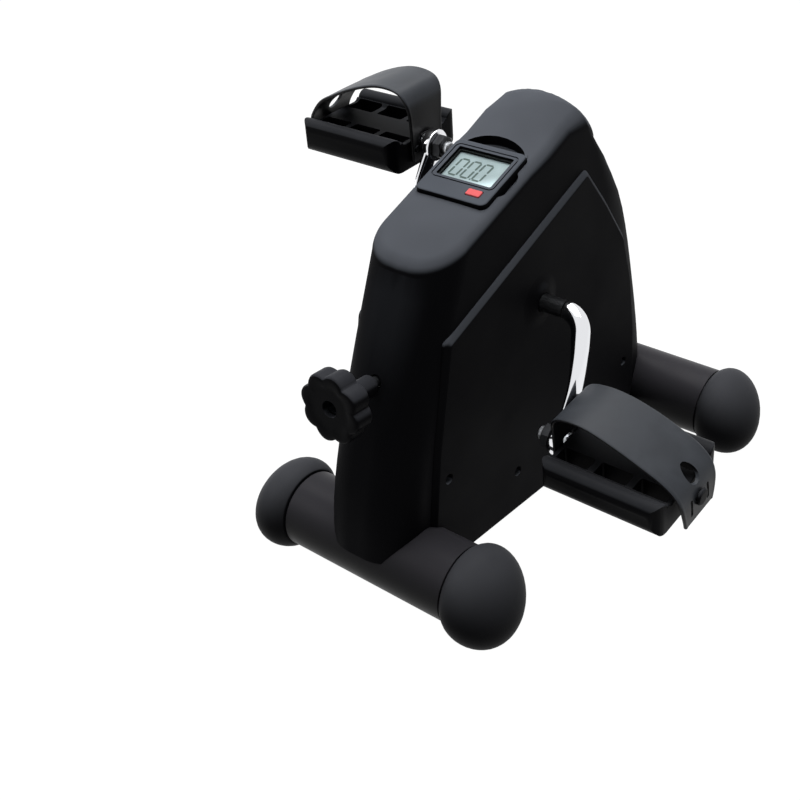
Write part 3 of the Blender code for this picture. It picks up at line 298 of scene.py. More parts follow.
def display_film(name, colour):
    """Reflective liquid crystal cell: a pale grey-green film, with a painted sheen that makes it
    paler towards its lower right."""
    made, tree, where = start_material(name)
    film = add_node(tree, "ShaderNodeTexNoise", {
        "Vector": where, "Scale": 1 / (14 * MM), "Detail": 1.0})
    cloudy = add_node(tree, "ShaderNodeMapRange", {
        "Value": film, **NOISE_SPAN, "To Min": 0.93, "To Max": 1.06})
    across = add_node(tree, "ShaderNodeVectorMath", {0: where, 1: (0.45, -1.0, 0.0)},
                      operation="DOT_PRODUCT").outputs["Value"]
    low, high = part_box("lcd_panel")
    # Painted sheen: the colour grows up to 2.8 times towards the lower right.
    paler = add_node(tree, "ShaderNodeMapRange", {
        "Value": across, "From Min": 0.2 * high.x - lerp(low.y, high.y, 0.45),
        "From Max": 0.45 * high.x - low.y, "To Min": 0.98, "To Max": 2.8},
        interpolation_type="SMOOTHSTEP")
    share = add_node(tree, "ShaderNodeMath", {0: cloudy, 1: paler}, operation="MULTIPLY")
    return end_material(made, "ShaderNodeBsdfPrincipled", {
        "Base Color": add_node(tree, "ShaderNodeVectorMath", {0: colour, "Scale": share},
                               operation="SCALE"),
        "Roughness": 0.3, "Specular IOR Level": 0.15})


def solder_mask(name, colour):
    """Lacquered circuit board: a green film with the paler copper lines showing through."""
    made, tree, where = start_material(name)
    return end_material(made, "ShaderNodeBsdfPrincipled", {
        "Base Color": add_node(tree, "ShaderNodeTexBrick", {
            "Vector": where, "Scale": 1 / (30 * MM), "Mortar Size": 0.03,
            "Color1": (*colour, 1), "Color2": (*linear("#1c5c33"), 1),
            "Mortar": (*linear("#3f8a55"), 1)}),
        "Roughness": 0.35})


FINISHES = {}


def make_finishes(colours):
    """Every finish on the bike, by the record's slot name or by the name of its relative."""
    black, grey = colours.plastic, linear("#64676b")
    FINISHES.update({
        # Where the second colour differs from the first, it is painted light on the faces that
        # look up.
        "black_abs": moulded_plastic("moulded_abs_black", black, 0.62, 0.8,
                                     colours.housing_top),
        "cap_abs": moulded_plastic("moulded_abs_cap_black", black, 0.5, 0.6, colours.cap_top,
                                   (-0.15, 0.8)),
        "pedal_abs": moulded_plastic("moulded_abs_pedal_black", black, 0.42, 0.6,
                                     colours.pedal_top),
        "knob_abs": moulded_plastic("moulded_abs_knob_black", black, 0.4, 0.6,
                                    colours.knob_top),
        "bezel_abs": moulded_plastic("moulded_abs_bezel_grey", black, 0.45, 0.4,
                                     colours.bezel_top),
        "satin_black_steel": powder_coat("powder_coated_steel_black", colours.steel, 0.38,
                                         colours.steel_top),
        "chrome": plated_metal("chrome_plated_steel", linear("#e4e5e8"), 0.07, 0.6, 0.004),
        "zinc_steel": plated_metal("zinc_plated_steel", linear("#b4b7bb"), 0.3, 0.4, 0.02),
        "dark_steel": plated_metal("black_oxide_steel", linear("#38393b"), 0.38, 0.4, 0.02),
        "grey_nylon": moulded_plastic("moulded_nylon_grey", grey, 0.5, 0.5, grey),
        "strap_pvc": flexible_pvc("flexible_pvc_black", black, 0.42, colours.strap_top),
        "felt": wool_felt("pressed_wool_felt", linear("#6d6450")),
        "black_rubber": flexible_pvc("cable_pvc_black", linear("#0c0c0d"), 0.5,
                                     linear("#141516")),
        "display_glass": clear_acrylic("clear_acrylic"),
        "lcd": display_film("liquid_crystal_cell", colours.display),
        "lcd_segment": display_film("liquid_crystal_segment", colours.segment),
        "board_green": solder_mask("solder_mask_green", linear("#144a28")),
        "red_button": moulded_plastic("moulded_silicone_red", colours.button, 0.45, 0.5,
                                      colours.button),
    })


# Curves and outlines

def lerp(a, b, t):
    return a + (b - a) * t


def ease(t):
    t = min(max(t, 0), 1)
    return t * t * (3 - 2 * t)


def through(points, t):
    """Value at t of a smooth curve through (t, value) points."""
    t = min(max(t, points[0][0]), points[-1][0])
    last = len(points) - 1
    i = max(k for k in range(last) if points[k][0] <= t)

    def slope(k):
        low, high = points[max(k - 1, 0)], points[min(k + 1, last)]
        return (high[1] - low[1]) / (high[0] - low[0])

    (t0, v0), (t1, v1) = points[i], points[i + 1]
    step = t1 - t0
    u = (t - t0) / step
    return ((2 * u**3 - 3 * u**2 + 1) * v0 + (u**3 - 2 * u**2 + u) * step * slope(i)
            + (3 * u**2 - 2 * u**3) * v1 + (u**3 - u**2) * step * slope(i + 1))


def circle(radius, count, centre=(0, 0), start=0.0, sweep=math.tau):
    """Points round a circle, or along an arc with both its ends."""
    steps = count if sweep == math.tau else count - 1
    return [(centre[0] + radius * math.cos(start + sweep * i / steps),
             centre[1] + radius * math.sin(start + sweep * i / steps)) for i in range(count)]


def rounded_rectangle(width, height, radius, middle=(0, 0)):
    points = []
    for corner, (sx, sy) in enumerate(((1, 1), (-1, 1), (-1, -1), (1, -1))):
        centre = (middle[0] + sx * (width / 2 - radius), middle[1] + sy * (height / 2 - radius))
        points += circle(radius, 8, centre, corner * math.pi / 2, math.pi / 2)
    return points


def round_corners(points, radius):
    """The outline with each corner replaced by a short arc, where its sides are long enough."""
    made = []
    for i, point in enumerate(points):
        corner = Vector(point)
        before = Vector(points[i - 1]) - corner
        after = Vector(points[(i + 1) % len(points)]) - corner
        reach = min(radius, before.length * 0.35, after.length * 0.35)
        start, end = corner + before.normalized() * reach, corner + after.normalized() * reach
        for t in (0, 0.25, 0.5, 0.75, 1):
            made.append(tuple(start * (1 - t) ** 2 + corner * 2 * t * (1 - t) + end * t * t))
    return made


# Meshes

def finish_mesh(bm, angle=35):
    """The mesh, smooth except where two faces meet at more than the angle in degrees."""
    mesh = bpy.data.meshes.new("part")
    bm.to_mesh(mesh)
    bm.free()
    mesh.shade_smooth()
    mesh.set_sharp_from_angle(angle=math.radians(angle))
    return mesh


def round_edges(bm, edges, radius, steps):
    bmesh.ops.bevel(bm, geom=edges, offset=radius, segments=steps, profile=0.5,
                    affect="EDGES", clamp_overlap=True)


def skin(rings, closed=False):
    """A mesh in the making with faces between rings of points, and its loops; a ring of one
    point is a tip."""
    bm = bmesh.new()
    loops = [[bm.verts.new(point) for point in ring] for ring in rings]
    for low, high in zip(loops, loops[1:] + loops[:closed]):
        for i in range(len(low)):
            j = i + 1
            corners = (low[i], low[j % len(low)], high[j % len(high)], high[i % len(high)])
            bm.faces.new(list(dict.fromkeys(corners)))
    return bm, loops


def loft(rings, angle=35, closed=False):
    """A solid through rings of points, its ends capped; or closed, its last ring joined to
    its first."""
    bm, loops = skin(rings, closed)
    for end in (loops[0], loops[-1]):
        if not closed and len(end) > 2:
            bm.faces.new(end)
    bmesh.ops.recalc_face_normals(bm, faces=bm.faces)
    return finish_mesh(bm, angle)


def lathe(profile, axis="X", count=48, centre=(0, 0, 0), closed=False, side=1):
    """A turned solid: profile points are (radius, distance along the axis towards a side)."""
    order = {"X": (2, 0, 1), "Y": (0, 2, 1), "Z": (0, 1, 2)}[axis]
    rings = []
    for radius, reach in profile:
        ring = [(*point, side * reach) for point in circle(radius, count)]
        rings.append([Vector(centre) + Vector([p[k] for k in order]) for p in ring])
    return loft(rings, closed=closed)


def rod(radius, start, end, axis="X", count=48, centre=(0, 0, 0)):
    """A plain round bar between two distances along its axis."""
    return lathe([(radius, start), (radius, end)], axis, count, centre)


def plate(loop, bottom, top, rounding=0.0, steps=4, matrix=Matrix()):
    """A flat piece with the given outline, its top and bottom edges rounded."""
    bm = bmesh.new()
    face = bm.faces.new([bm.verts.new((x, y, bottom)) for x, y in loop])
    raised = bmesh.ops.extrude_face_region(bm, geom=[face])
    lifted = [v for v in raised["geom"] if isinstance(v, bmesh.types.BMVert)]
    bmesh.ops.translate(bm, vec=(0, 0, top - bottom), verts=lifted)
    bmesh.ops.recalc_face_normals(bm, faces=bm.faces)
    if rounding:
        flat = [e for e in bm.edges if abs(e.verts[0].co.z - e.verts[1].co.z) < 1e-4]
        round_edges(bm, flat, rounding, steps)
    bmesh.ops.transform(bm, matrix=matrix, verts=bm.verts)
    return finish_mesh(bm)


def block(size, centre, rounding=0.0):
    bm = bmesh.new()
    place = Matrix.Translation(centre) @ Matrix.Diagonal((*size, 1))
    bmesh.ops.create_cube(bm, size=1, matrix=place)
    if rounding:
        round_edges(bm, list(bm.edges), rounding, 3)
    return finish_mesh(bm)


# A side view's outline (y, z), extruded along X
SIDE_VIEW = Matrix(((0, 0, 1, 0), (1, 0, 0, 0), (0, 1, 0, 0), (0, 0, 0, 1)))
WELD = 0.001  # points closer than this are one after a cut


def moved(mesh, matrix):
    mesh.transform(matrix)
    return mesh


def carved(mesh, tools, angle=35):
    """The mesh after each tool, (mesh, operation), has been joined to it or cut from it."""
    holder = add_object("blank", mesh)
    helpers = []
    for tool, operation in tools:
        change = holder.modifiers.new(operation, "BOOLEAN")
        change.operation = operation
        change.solver = "EXACT"
        change.object = add_object("tool", tool)
        helpers.append(change.object)
    graph = bpy.context.evaluated_depsgraph_get()
    made = bpy.data.meshes.new_from_object(holder.evaluated_get(graph))
    for helper in helpers + [holder]:
        bpy.data.objects.remove(helper, do_unlink=True)
    if not made.polygons:
        raise RuntimeError("a cut has left nothing of a piece")
    bm = bmesh.new()
    bm.from_mesh(made)
    bmesh.ops.remove_doubles(bm, verts=bm.verts, dist=WELD)
    bmesh.ops.dissolve_degenerate(bm, edges=bm.edges, dist=WELD)
    return finish_mesh(bm, angle)


def joined(meshes):
    """One mesh that holds several."""
    bm = bmesh.new()
    for mesh in meshes:
        bm.from_mesh(mesh)
    return finish_mesh(bm)


def place_piece(name, mesh, body, slot, finish=None, replaces=None, matrix=Matrix()):
    """Adds a visible piece: in its place in metres, with its finish, riding on its body."""
    mesh.transform(Matrix.Scale(MM, 4) @ Matrix.Translation((0, DATUM_Y, 0)) @ matrix)
    mesh.materials.append(FINISHES[finish or slot])
    piece = add_object(name, mesh)
    piece.modifiers.new("flat_faces", "WEIGHTED_NORMAL").keep_sharp = True
    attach(piece, body)
    if replaces:
        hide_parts(replaces)


def refinish(finish, *nodes):
    """Carried-over CAD nodes take a finish."""
    for node in nodes:
        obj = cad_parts[node]
        if not obj.material_slots:
            obj.data.materials.append(FINISHES[finish])
        for place in obj.material_slots:
            place.material = FINISHES[finish]


# Housing, from the same curves as the CAD model

RUNNING_GAP = 0.3
HOUSING_HALF = 35.5
HOUSING_BOTTOM = 23
HOUSING_WALL = 2.6
HOUSING_ROOF = 6
NOSE_RADIUS = 29
RIM_RADIUS = 8
FACE_X = 39
CONE_X = 42
AXLE_BORE = 7.1
POST_RADIUS = 5.2
FRONT_RIM_Z = 243
REAR_RIM_Z = 280
FRONT_DROP, DOME_DROP = 1, 11  # from the middle of the top face to its sides
DOME_START, DOME_RUN = -60, 45
ROD_Z = 171.5
ROD_OPENING = 5.2
TUBE_RADIUS = 28.8
TUBE_HEIGHT = 35
FRONT_WALL = [(20, -193.5), (75, -193.5), (120, -186), (180, -169.5), (243, -149)]  # z, y
REAR_WALL = [(20, 178), (72, 169.5), (148, 141), (222, 105), (262, 71.5), (280, 51)]  # z, y
TOP_LINE = [(-148, 249), (-124, 261), (-97, 273), (-48, 295), (-28, 308), (-10, 319),
            (5, 323), (18, 315.5), (31, 305), (42, 295), (52, 285.5)]  # y, z
FACE_OUTLINE = [(-144.6, 200.8), (13, 273), (45, 240), (77, 203), (94, 164), (108, 115),
                (116, 70), (117, 12), (-157, 12), (-156, 60), (-153.5, 120)]  # y, z
SHELL_SCREWS = [(-54.4, 57.5, 37.4, 1), (-140, 96, 37.4, 1), (-100, 232, 34, -1),
                (-8, 284, 33, -1), (94, 88, 37.4, 1)]  # y, z, half post, side of the head
SHELL_LAP = 0.004  # each shell passes the middle by this, so that no point lies on the cut

MONITOR_WIDTH = 56.6
MONITOR_LENGTH = 52.9
MONITOR_DEPTH = 17
# The monitor's face: local X right, local Y up the slope, local Z out
MONITOR_SEAT = (Matrix.Translation((0, -72.4, 287))
                @ Matrix.Rotation(math.radians(23.4), 4, "X"))


def top_height(x, y):
    """Height of the sloping top face, which is domed across at its rear end."""
    dome = ease((y - DOME_START) / DOME_RUN)
    return through(TOP_LINE, y) - lerp(FRONT_DROP, DOME_DROP, dome) * (x / HOUSING_HALF) ** 2


def plan_points(front, rear, half, nose, level, fine):
    """Right half of a plan section, from the front tip round to the rear tip."""
    turns, steps, count = (18, 6, 24) if fine else (6, 2, 8)
    points = [(0, front)]
    for i in range(turns + 1):
        angle = math.pi / 2 * i / turns
        points.append((half - nose + nose * math.sin(angle), front + nose * (1 - math.cos(angle))))
    tail = lerp(118, 38, level)  # the walls run straight back to where the rear draws in
    start = rear - tail
    flat = points[-1][1]
    points += [(half, lerp(flat, start, k / steps)) for k in range(1, steps)]
    handle = start + lerp(0.09, 0.55, level) * tail
    blunt = (34 - 11 * level - 9 * level ** 6) / HOUSING_HALF * half  # the rear's half width
    for i in range(count):
        t = i / (count - 1)
        weights = ((1 - t) ** 3, 3 * (1 - t) ** 2 * t, 3 * (1 - t) * t * t, t ** 3)
        points.append((half * (weights[0] + weights[1]) + blunt * weights[2],
                       start * weights[0] + handle * weights[1]
                       + rear * (weights[2] + weights[3])))
    return points


def housing_solid(inset, roof, bottom, fine):
    """Closed body of the housing, or of its inside when it is inset."""
    levels, turns = (16, 8) if fine else (6, 3)

    def ring(level, further=0.0, drop=RIM_RADIUS, shrink=0.0):
        """One closed ring; level 0 is the bottom edge and 1 the rim under the top face."""
        within = inset + further
        front = through(FRONT_WALL, lerp(HOUSING_BOTTOM, FRONT_RIM_Z, level)) + within
        rear = through(REAR_WALL, lerp(HOUSING_BOTTOM, REAR_RIM_Z, level)) - within
        right = plan_points(front, rear, HOUSING_HALF - within, NOSE_RADIUS - within, level,
                            fine)
        top_front = through(FRONT_WALL, FRONT_RIM_Z) + within
        top_rear = through(REAR_WALL, REAR_RIM_Z) - within
        points = []
        for x, y in right + [(-x, y) for x, y in reversed(right[1:-1])]:
            spine = min(max(y, lerp(front, rear, 0.3)), lerp(front, rear, 0.7))
            x, y = lerp(x, 0, shrink), lerp(y, spine, shrink)
            y_top = lerp(top_front, top_rear, (y - front) / (rear - front))
            rim = top_height(x, y_top) - roof - drop
            points.append((x, y, lerp(bottom, rim, level)))
        return points

    rings = [ring(i / levels) for i in range(levels + 1)]
    for i in range(1, turns + 1):
        angle = math.pi / 2 * i / turns
        rings.append(ring(1, RIM_RADIUS * (1 - math.cos(angle)),
                          RIM_RADIUS * (1 - math.sin(angle))))
    for shrink in ((0.08, 0.18, 0.3, 0.42, 0.54, 0.66, 0.78, 0.9) if fine else (0.35, 0.7)):
        rings.append(ring(1, RIM_RADIUS, 0, shrink))
    bm, loops = skin(rings)
    bm.faces.new(reversed(loops[0]))
    last = loops[-1]
    for i in range(len(last) // 2):
        bm.faces.new(list(dict.fromkeys((last[i], last[i + 1], last[-i - 1], last[-i]))))
    bmesh.ops.triangulate(bm, faces=bm.faces)
    bmesh.ops.recalc_face_normals(bm, faces=bm.faces)
    return finish_mesh(bm)


def side_face(side, sizes, margin=0.0):
    """The raised face on one side, its edge sloped and then rounded; or its hollow back."""
    bm = bmesh.new()
    base = HOUSING_HALF - 5 - 2 * margin
    outline, slope, top = FACE_OUTLINE, 0, FACE_X - HOUSING_WALL
    width = sizes.face_chamfer / MM
    if not margin:
        outline = round_corners(outline, sizes.corner_rounding / MM)
        slope, top = width * 0.8, FACE_X
    face = bm.faces.new([bm.verts.new((side * base, y, z)) for y, z in outline])
    bm.normal_update()
    if margin:
        rim = bmesh.ops.inset_region(bm, faces=[face], thickness=margin, use_boundary=True)
        bmesh.ops.delete(bm, geom=rim["faces"], context="FACES")
    raised = bmesh.ops.extrude_face_region(bm, geom=[face])
    outer = [item for item in raised["geom"] if isinstance(item, bmesh.types.BMFace)][0]
    bmesh.ops.translate(bm, vec=(side * (top - base - slope), 0, 0), verts=outer.verts)
    if not margin:
        bmesh.ops.recalc_face_normals(bm, faces=bm.faces)
        done = (0, 0)
        for reach, rise in ((0.12, 0.22), (0.3, 0.42), (0.7, 0.78), (0.88, 0.93), (1.05, 1.0)):
            bmesh.ops.inset_region(bm, faces=[outer], thickness=(reach - done[0]) * width,
                                   depth=(rise - done[1]) * slope, use_even_offset=True)
            done = (reach, rise)
    bmesh.ops.recalc_face_normals(bm, faces=bm.faces)
    return finish_mesh(bm)


def screw_tools():
    """Posts for the shell screws, then the bores for their heads and threads."""
    posts, bores = [], []
    for y, z, reach, side in SHELL_SCREWS:
        centre = (0, y, z)
        mouth = (FACE_X if side > 0 else HOUSING_HALF) - 0.4
        posts.append((rod(POST_RADIUS, -reach, reach, count=32, centre=centre), JOIN))
        head = [(3.6, 24), (3.6, mouth), (4.6, mouth + 0.8), (4.6, 50)]
        for profile in (head, [(1.9, -17), (1.9, 26)]):
            bores.append((lathe(profile, "X", 32, centre, side=side), CUT))
    return posts + bores


def boss_mesh(side):
    """The boss round the crank shaft: a fillet, a slope and a rounded lip."""
    profile = ((22, 33), (22, 38.9), (19.6, 39.1), (17, 39.5), (14.6, 40.1), (12.4, 40.9),
               (10.4, CONE_X - 0.5), (9.4, CONE_X - 0.1), (8.6, CONE_X))
    return lathe(profile, "X", 64, AXLE, side=side)


def finger_scoops():
    """The hollow behind the monitor's far edge, and the thumb hollows at its sides."""
    across, behind = MONITOR_WIDTH / 2 - 1, MONITOR_LENGTH / 2 - 2
    tools = []
    for radius, depth, centre, squeeze in (
            (25, 9, (0, behind), (1, 0.5)), (12.5, 7.4, (across, 0), (0.42, 1)),
            (12.5, 7.4, (-across, 0), (0.42, 1))):
        place = (MONITOR_SEAT @ Matrix.Translation((*centre, 0))
                 @ Matrix.Diagonal((*squeeze, 1, 1)))
        if not centre[0]:
            pad = rod(radius + 2, -depth - 2.5, -3, "Z", 64)
            tools.append((moved(pad, place), JOIN))
        scoop = lathe([(radius - 4, -depth), (radius - 1.6, -depth + 0.8),
                       (radius - 0.4, -depth + 2.4), (radius, -depth + 5), (radius, 30)],
                      "Z", 64)
        tools.append((moved(scoop, place), CUT))
    return tools


class BIKE_OT_housing(bpy.types.Operator):
    """Both housing shells, with their raised faces, bosses, openings and screw posts"""
    bl_idname = "bike.housing"
    bl_label = "Housing shells"

    def execute(self, context):
        sizes = context.scene.bike_sizes
        saddle = TUBE_RADIUS + RUNNING_GAP
        pocket = rounded_rectangle(MONITOR_WIDTH + 1, MONITOR_LENGTH + 1, 5)
        tools = []
        for side in (-1, 1):
            tools += [(side_face(side, sizes), JOIN), (boss_mesh(side), JOIN)]
        tools.append((housing_solid(HOUSING_WALL, HOUSING_ROOF, HOUSING_BOTTOM - 8, False), CUT))
        tools += [(side_face(side, sizes, HOUSING_WALL + 1), CUT) for side in (-1, 1)]
        tools += screw_tools() + [
            (rod(AXLE_BORE, -60, 60, centre=AXLE), CUT),
            (block((120, 600, 40), (0, 0, HOUSING_BOTTOM - 20)), CUT),  # below the edge
            (rod(saddle, -60, 60, "X", 96, (0, FRONT_Y, TUBE_HEIGHT)), CUT),
            (rod(saddle, -60, 60, "X", 96, (0, REAR_Y, TUBE_HEIGHT)), CUT),
            (block((90, 40, 60), (0, FRONT_Y - 20, 14)), CUT),  # in front of the tube
            (rod(ROD_OPENING, -200, -140, "Y", centre=(0, 0, ROD_Z)), CUT)]
        tools += finger_scoops() + [(plate(pocket, -25, 25, matrix=MONITOR_SEAT), CUT)]
        whole = carved(housing_solid(0, 0, HOUSING_BOTTOM - 4, True), tools, 32)
        for word, side in SIDES.items():
            other = block((80, 500, 400), (-side * (40 + SHELL_LAP), 0, 180))
            half = carved(whole.copy(), [(other, CUT)], 32)
            place_piece(f"{word}_shell", half, BODY, "black_abs",
                        replaces=f"{word}_housing_shell")
        refinish("dark_steel", *[f"shell_screw_{k + 1}" for k in range(len(SHELL_SCREWS))])
        return {"FINISHED"}


# Foot tubes and their end caps

CAP_RADIUS = 35.5
CAP_LENGTH = 43
CAP_SINK = 11
TUBE_WALL = 1.6


def cap_ring(side, along, radius, count=72):
    """A circle round the cap's centre line, which sinks towards the outer end."""
    sink = CAP_SINK * max(along / CAP_LENGTH, 0) ** 2
    return [(side * along, y, z) for y, z in circle(radius, count, (0, -sink))]


def cap_mesh(side, y, half):
    """The swollen plug: a spigot in the tube, a groove, the bulb, and the flat it stands on."""
    spigot = TUBE_RADIUS - TUBE_WALL - RUNNING_GAP
    stations = [(-18, spigot - 1), (-17, spigot), (1.5, spigot), (1.5, TUBE_RADIUS + 0.5),
                (1.9, TUBE_RADIUS + 1.2), (2.9, 30.9), (4.6, 32.2), (7, 33.7), (10, 34.8),
                (12.5, 35.3)]
    for i in range(13):
        bend = math.radians(6.8 * i)
        stations.append((lerp(15, CAP_LENGTH, math.sin(bend)), CAP_RADIUS * math.cos(bend)))
    tip = [(side * CAP_LENGTH, 0, -CAP_SINK)]
    outside = loft([cap_ring(side, *station) for station in stations] + [tip])
    hollow = [(-19, spigot - 2.6), (9, spigot - 2.6), (24, 16), (28, 4)]
    inside = loft([cap_ring(side, *station, 40) for station in hollow])
    floor = block((120, 120, 20), (0, 0, -TUBE_HEIGHT - 10))
    made = carved(outside, [(inside, CUT), (floor, CUT)], 40)
    return moved(made, Matrix.Translation((side * half, y, TUBE_HEIGHT)))


class BIKE_OT_feet(bpy.types.Operator):
    """Both foot tubes, with the swollen plug in each of their ends"""
    bl_idname = "bike.feet"
    bl_label = "Foot tubes"

    def execute(self, context):
        inner, lip = TUBE_RADIUS - TUBE_WALL, 0.3
        for end, y in (("front", FRONT_Y), ("rear", REAR_Y)):
            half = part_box(f"{end}_foot_tube")[1].x / MM
            wall = [(TUBE_RADIUS - lip, -half), (TUBE_RADIUS, -half + lip),
                    (TUBE_RADIUS, half - lip), (TUBE_RADIUS - lip, half), (inner, half),
                    (inner, -half)]
            place_piece(f"{end}_tube", lathe(wall, "X", 96, (0, y, TUBE_HEIGHT), closed=True),
                        BODY, "satin_black_steel", replaces=f"{end}_foot_tube")
            for word, side in SIDES.items():
                place_piece(f"{end}_{word}_cap", cap_mesh(side, y, half), BODY, "black_abs",
                            "cap_abs", f"{end}_{word}_end_cap")
        return {"FINISHED"}


# Tension knob and what it turns

KNOB_REACH = 216
KNOB_RADIUS = 24.4
KNOB_THICKNESS = 16
KNOB_LOBES = 8
LOBE_POINTS = 18
KNOB_PHASE = math.radians(11.5)
HUB_RADIUS = 7.4
ROD_RADIUS = 4


def knob_outline(depth, shrink):
    """Round lobes with short hollows between them."""
    points = []
    for i in range(KNOB_LOBES * LOBE_POINTS):
        angle = math.tau * i / (KNOB_LOBES * LOBE_POINTS)
        wave = abs(math.sin(KNOB_LOBES * (angle + KNOB_PHASE) / 2))
        radius = KNOB_RADIUS - shrink - depth * (1 - wave ** 0.95)
        points.append((radius * math.sin(angle), radius * math.cos(angle)))
    return points


def knob_mesh(deepest):
    """The lobed grip with a dished face, its hub, and the recess for the rod's end."""
    face = -KNOB_REACH
    back = face + KNOB_THICKNESS
    rings = []
    for y, shrink, depth in (
            (face + 1.2, 11.6, 0), (face + 0.4, 7.4, 0.4), (face, 3.6, 0.8),
            (face + 0.25, 1.5, 0.9), (face + 0.8, 0.6, 1), (face + 1.7, 0.1, 1),
            (face + 3, 0, 1), (back - 3, 0, 1), (back - 1.4, 0.5, 1), (back - 0.4, 1.4, 1),
            (back, 3, 0.8)):
        rings.append([(x, y, ROD_Z + z) for x, z in knob_outline(deepest * depth, shrink)])
    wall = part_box("tension_knob")[1].y / MM - DATUM_Y
    hub = [(HUB_RADIUS, back - 3), (HUB_RADIUS, wall - 1), (6.8, wall)]
    flare = [(13, back - 2), (13, back + 0.4), (10, back + 1.6), (HUB_RADIUS, back + 4)]
    recess = [(7, face - 5), (7, face + 0.2), (5.8, face + 1.4), (5.6, face + 5)]
    bore = [(ROD_RADIUS + RUNNING_GAP, face + 4), (ROD_RADIUS + RUNNING_GAP, wall + 10)]
    tools = [(lathe(profile, "Y", count, (0, 0, ROD_Z)), operation)
             for profile, count, operation in ((hub, 48, JOIN), (flare, 48, JOIN),
                                               (recess, 48, CUT), (bore, 32, CUT))]
    return carved(loft(rings, 30), tools, 40)


class BIKE_OT_tension(bpy.types.Operator):
    """The tension knob, its threaded rod, and the belt gear inside the housing"""
    bl_idname = "bike.tension"
    bl_label = "Tension control"

    def execute(self, context):
        knob = knob_mesh(context.scene.bike_sizes.knob_depth / MM)
        place_piece("tension_grip", knob, KNOB, "black_abs", "knob_abs", "tension_knob")
        refinish("dark_steel", "tension_rod", "rod_clip")
        refinish("grey_nylon", "tension_carriage", "rod_bush")
        refinish("satin_black_steel", "tension_bracket")
        refinish("zinc_steel", "belt_anchor_pin", "belt_spring")
        refinish("felt", "friction_belt")
        return {"FINISHED"}


# Cranks

ARM_X = 86
CRANK_RADIUS = 85
AXLE_HALF = 59.7
ARM_BEND = 17
EYE_RADIUS = 12
EYE_HALF = 4
SPINDLE_RADIUS = 5
PIN_LEFT = middle_of("left_spindle_nut") - CRANK
# The cranks' frame: origin on the axle, local Z towards the left pedal's eye
CRANK_FRAME = (Matrix.Translation(AXLE)
               @ Matrix.Rotation(-math.atan2(PIN_LEFT.y, PIN_LEFT.z), 4, "X"))


def arm_stations():
    """Middle line of the right arm with its half thickness and half width."""
    start = Vector((AXLE_HALF + 0.3, 0, 0))
    stations = [(start, 6.6, 6.6), (start + Vector((0.5, 0, 0)), 7.0, 7.0)]
    for i in range(1, 17):
        t = i / 16
        angle = math.radians(69) * t
        centre = start + Vector((math.sin(angle), 0, math.cos(angle) - 1)) * ARM_BEND
        stations.append((centre, lerp(7.0, 6.4, t), lerp(7.0, 7.2, t)))
    bend_end = stations[-1][0]
    thickness = [(19, 6.1), (24, 5.8), (34, 5.0), (45, 4.2), (60, 3.7), (78, 3.7)]
    width = [(19, 7.4), (24, 7.6), (34, 8.4), (45, 9.2), (60, 9.6), (78, 9.0)]
    for k in range(19):
        z = lerp(19, 78, k / 18)
        t = min((z + bend_end.z) / (60 + bend_end.z), 1)
        x = lerp(bend_end.x, ARM_X, 1.5 * t - 0.5 * t ** 3)
        stations.append((Vector((x, 0, -z)), through(thickness, z), through(width, z)))
    return stations


def arm_mesh(side):
    """The bent bar, flattened towards its eye, with the bores for spindle and axle."""
    stations = arm_stations()
    rings = []
    for i, (centre, thick, wide) in enumerate(stations):
        before = stations[max(i - 1, 0)][0]
        after = stations[min(i + 1, len(stations) - 1)][0]
        direction = (after - before).normalized() if i > 1 else Vector((1, 0, 0))
        normal = Vector((direction.z, 0, -direction.x))
        rings.append([centre + normal * thick * u + Vector((0, wide * v, 0))
                      for u, v in circle(1, 32)])
    if side < 0:
        rings = [[(-x, y, -z) for x, y, z in ring] for ring in rings]
    eye = (0, 0, -side * CRANK_RADIUS)
    middle = side * ARM_X
    boss = lathe([(EYE_RADIUS - 1, middle - EYE_HALF), (EYE_RADIUS, middle - EYE_HALF + 1),
                  (EYE_RADIUS, middle + EYE_HALF - 1), (EYE_RADIUS - 1, middle + EYE_HALF)],
                 "X", 64, eye)
    bore = rod(SPINDLE_RADIUS + RUNNING_GAP, middle - 20, middle + 20, "X", 40, eye)
    socket = rod(4.3, side * 60, side * (AXLE_HALF + 8.4), count=24)
    return carved(loft(rings, 50), [(boss, JOIN), (bore, CUT), (socket, CUT)], 50)


def nut_mesh(side):
    """Hexagon nut with its corners turned down."""
    low, high = ARM_X - EYE_HALF - 7.3, ARM_X - EYE_HALF - 0.3
    centre = (0, 0, -side * CRANK_RADIUS)
    body = plate(circle(9.2, 6), low, high, matrix=Matrix.Translation(centre) @ SIDE_VIEW)
    round_off = lathe([(7.2, low - 0.4), (9.6, low + 1.4), (9.6, high - 1), (8.2, high + 0.2)],
                      centre=centre)
    bore = rod(SPINDLE_RADIUS + RUNNING_GAP, low - 5, high + 5, count=40, centre=centre)
    nut = carved(body, [(round_off, KEEP), (bore, CUT)], 30)
    if side < 0:
        nut.transform(Matrix.Diagonal((-1, 1, 1, 1)))
        nut.flip_normals()
    return nut


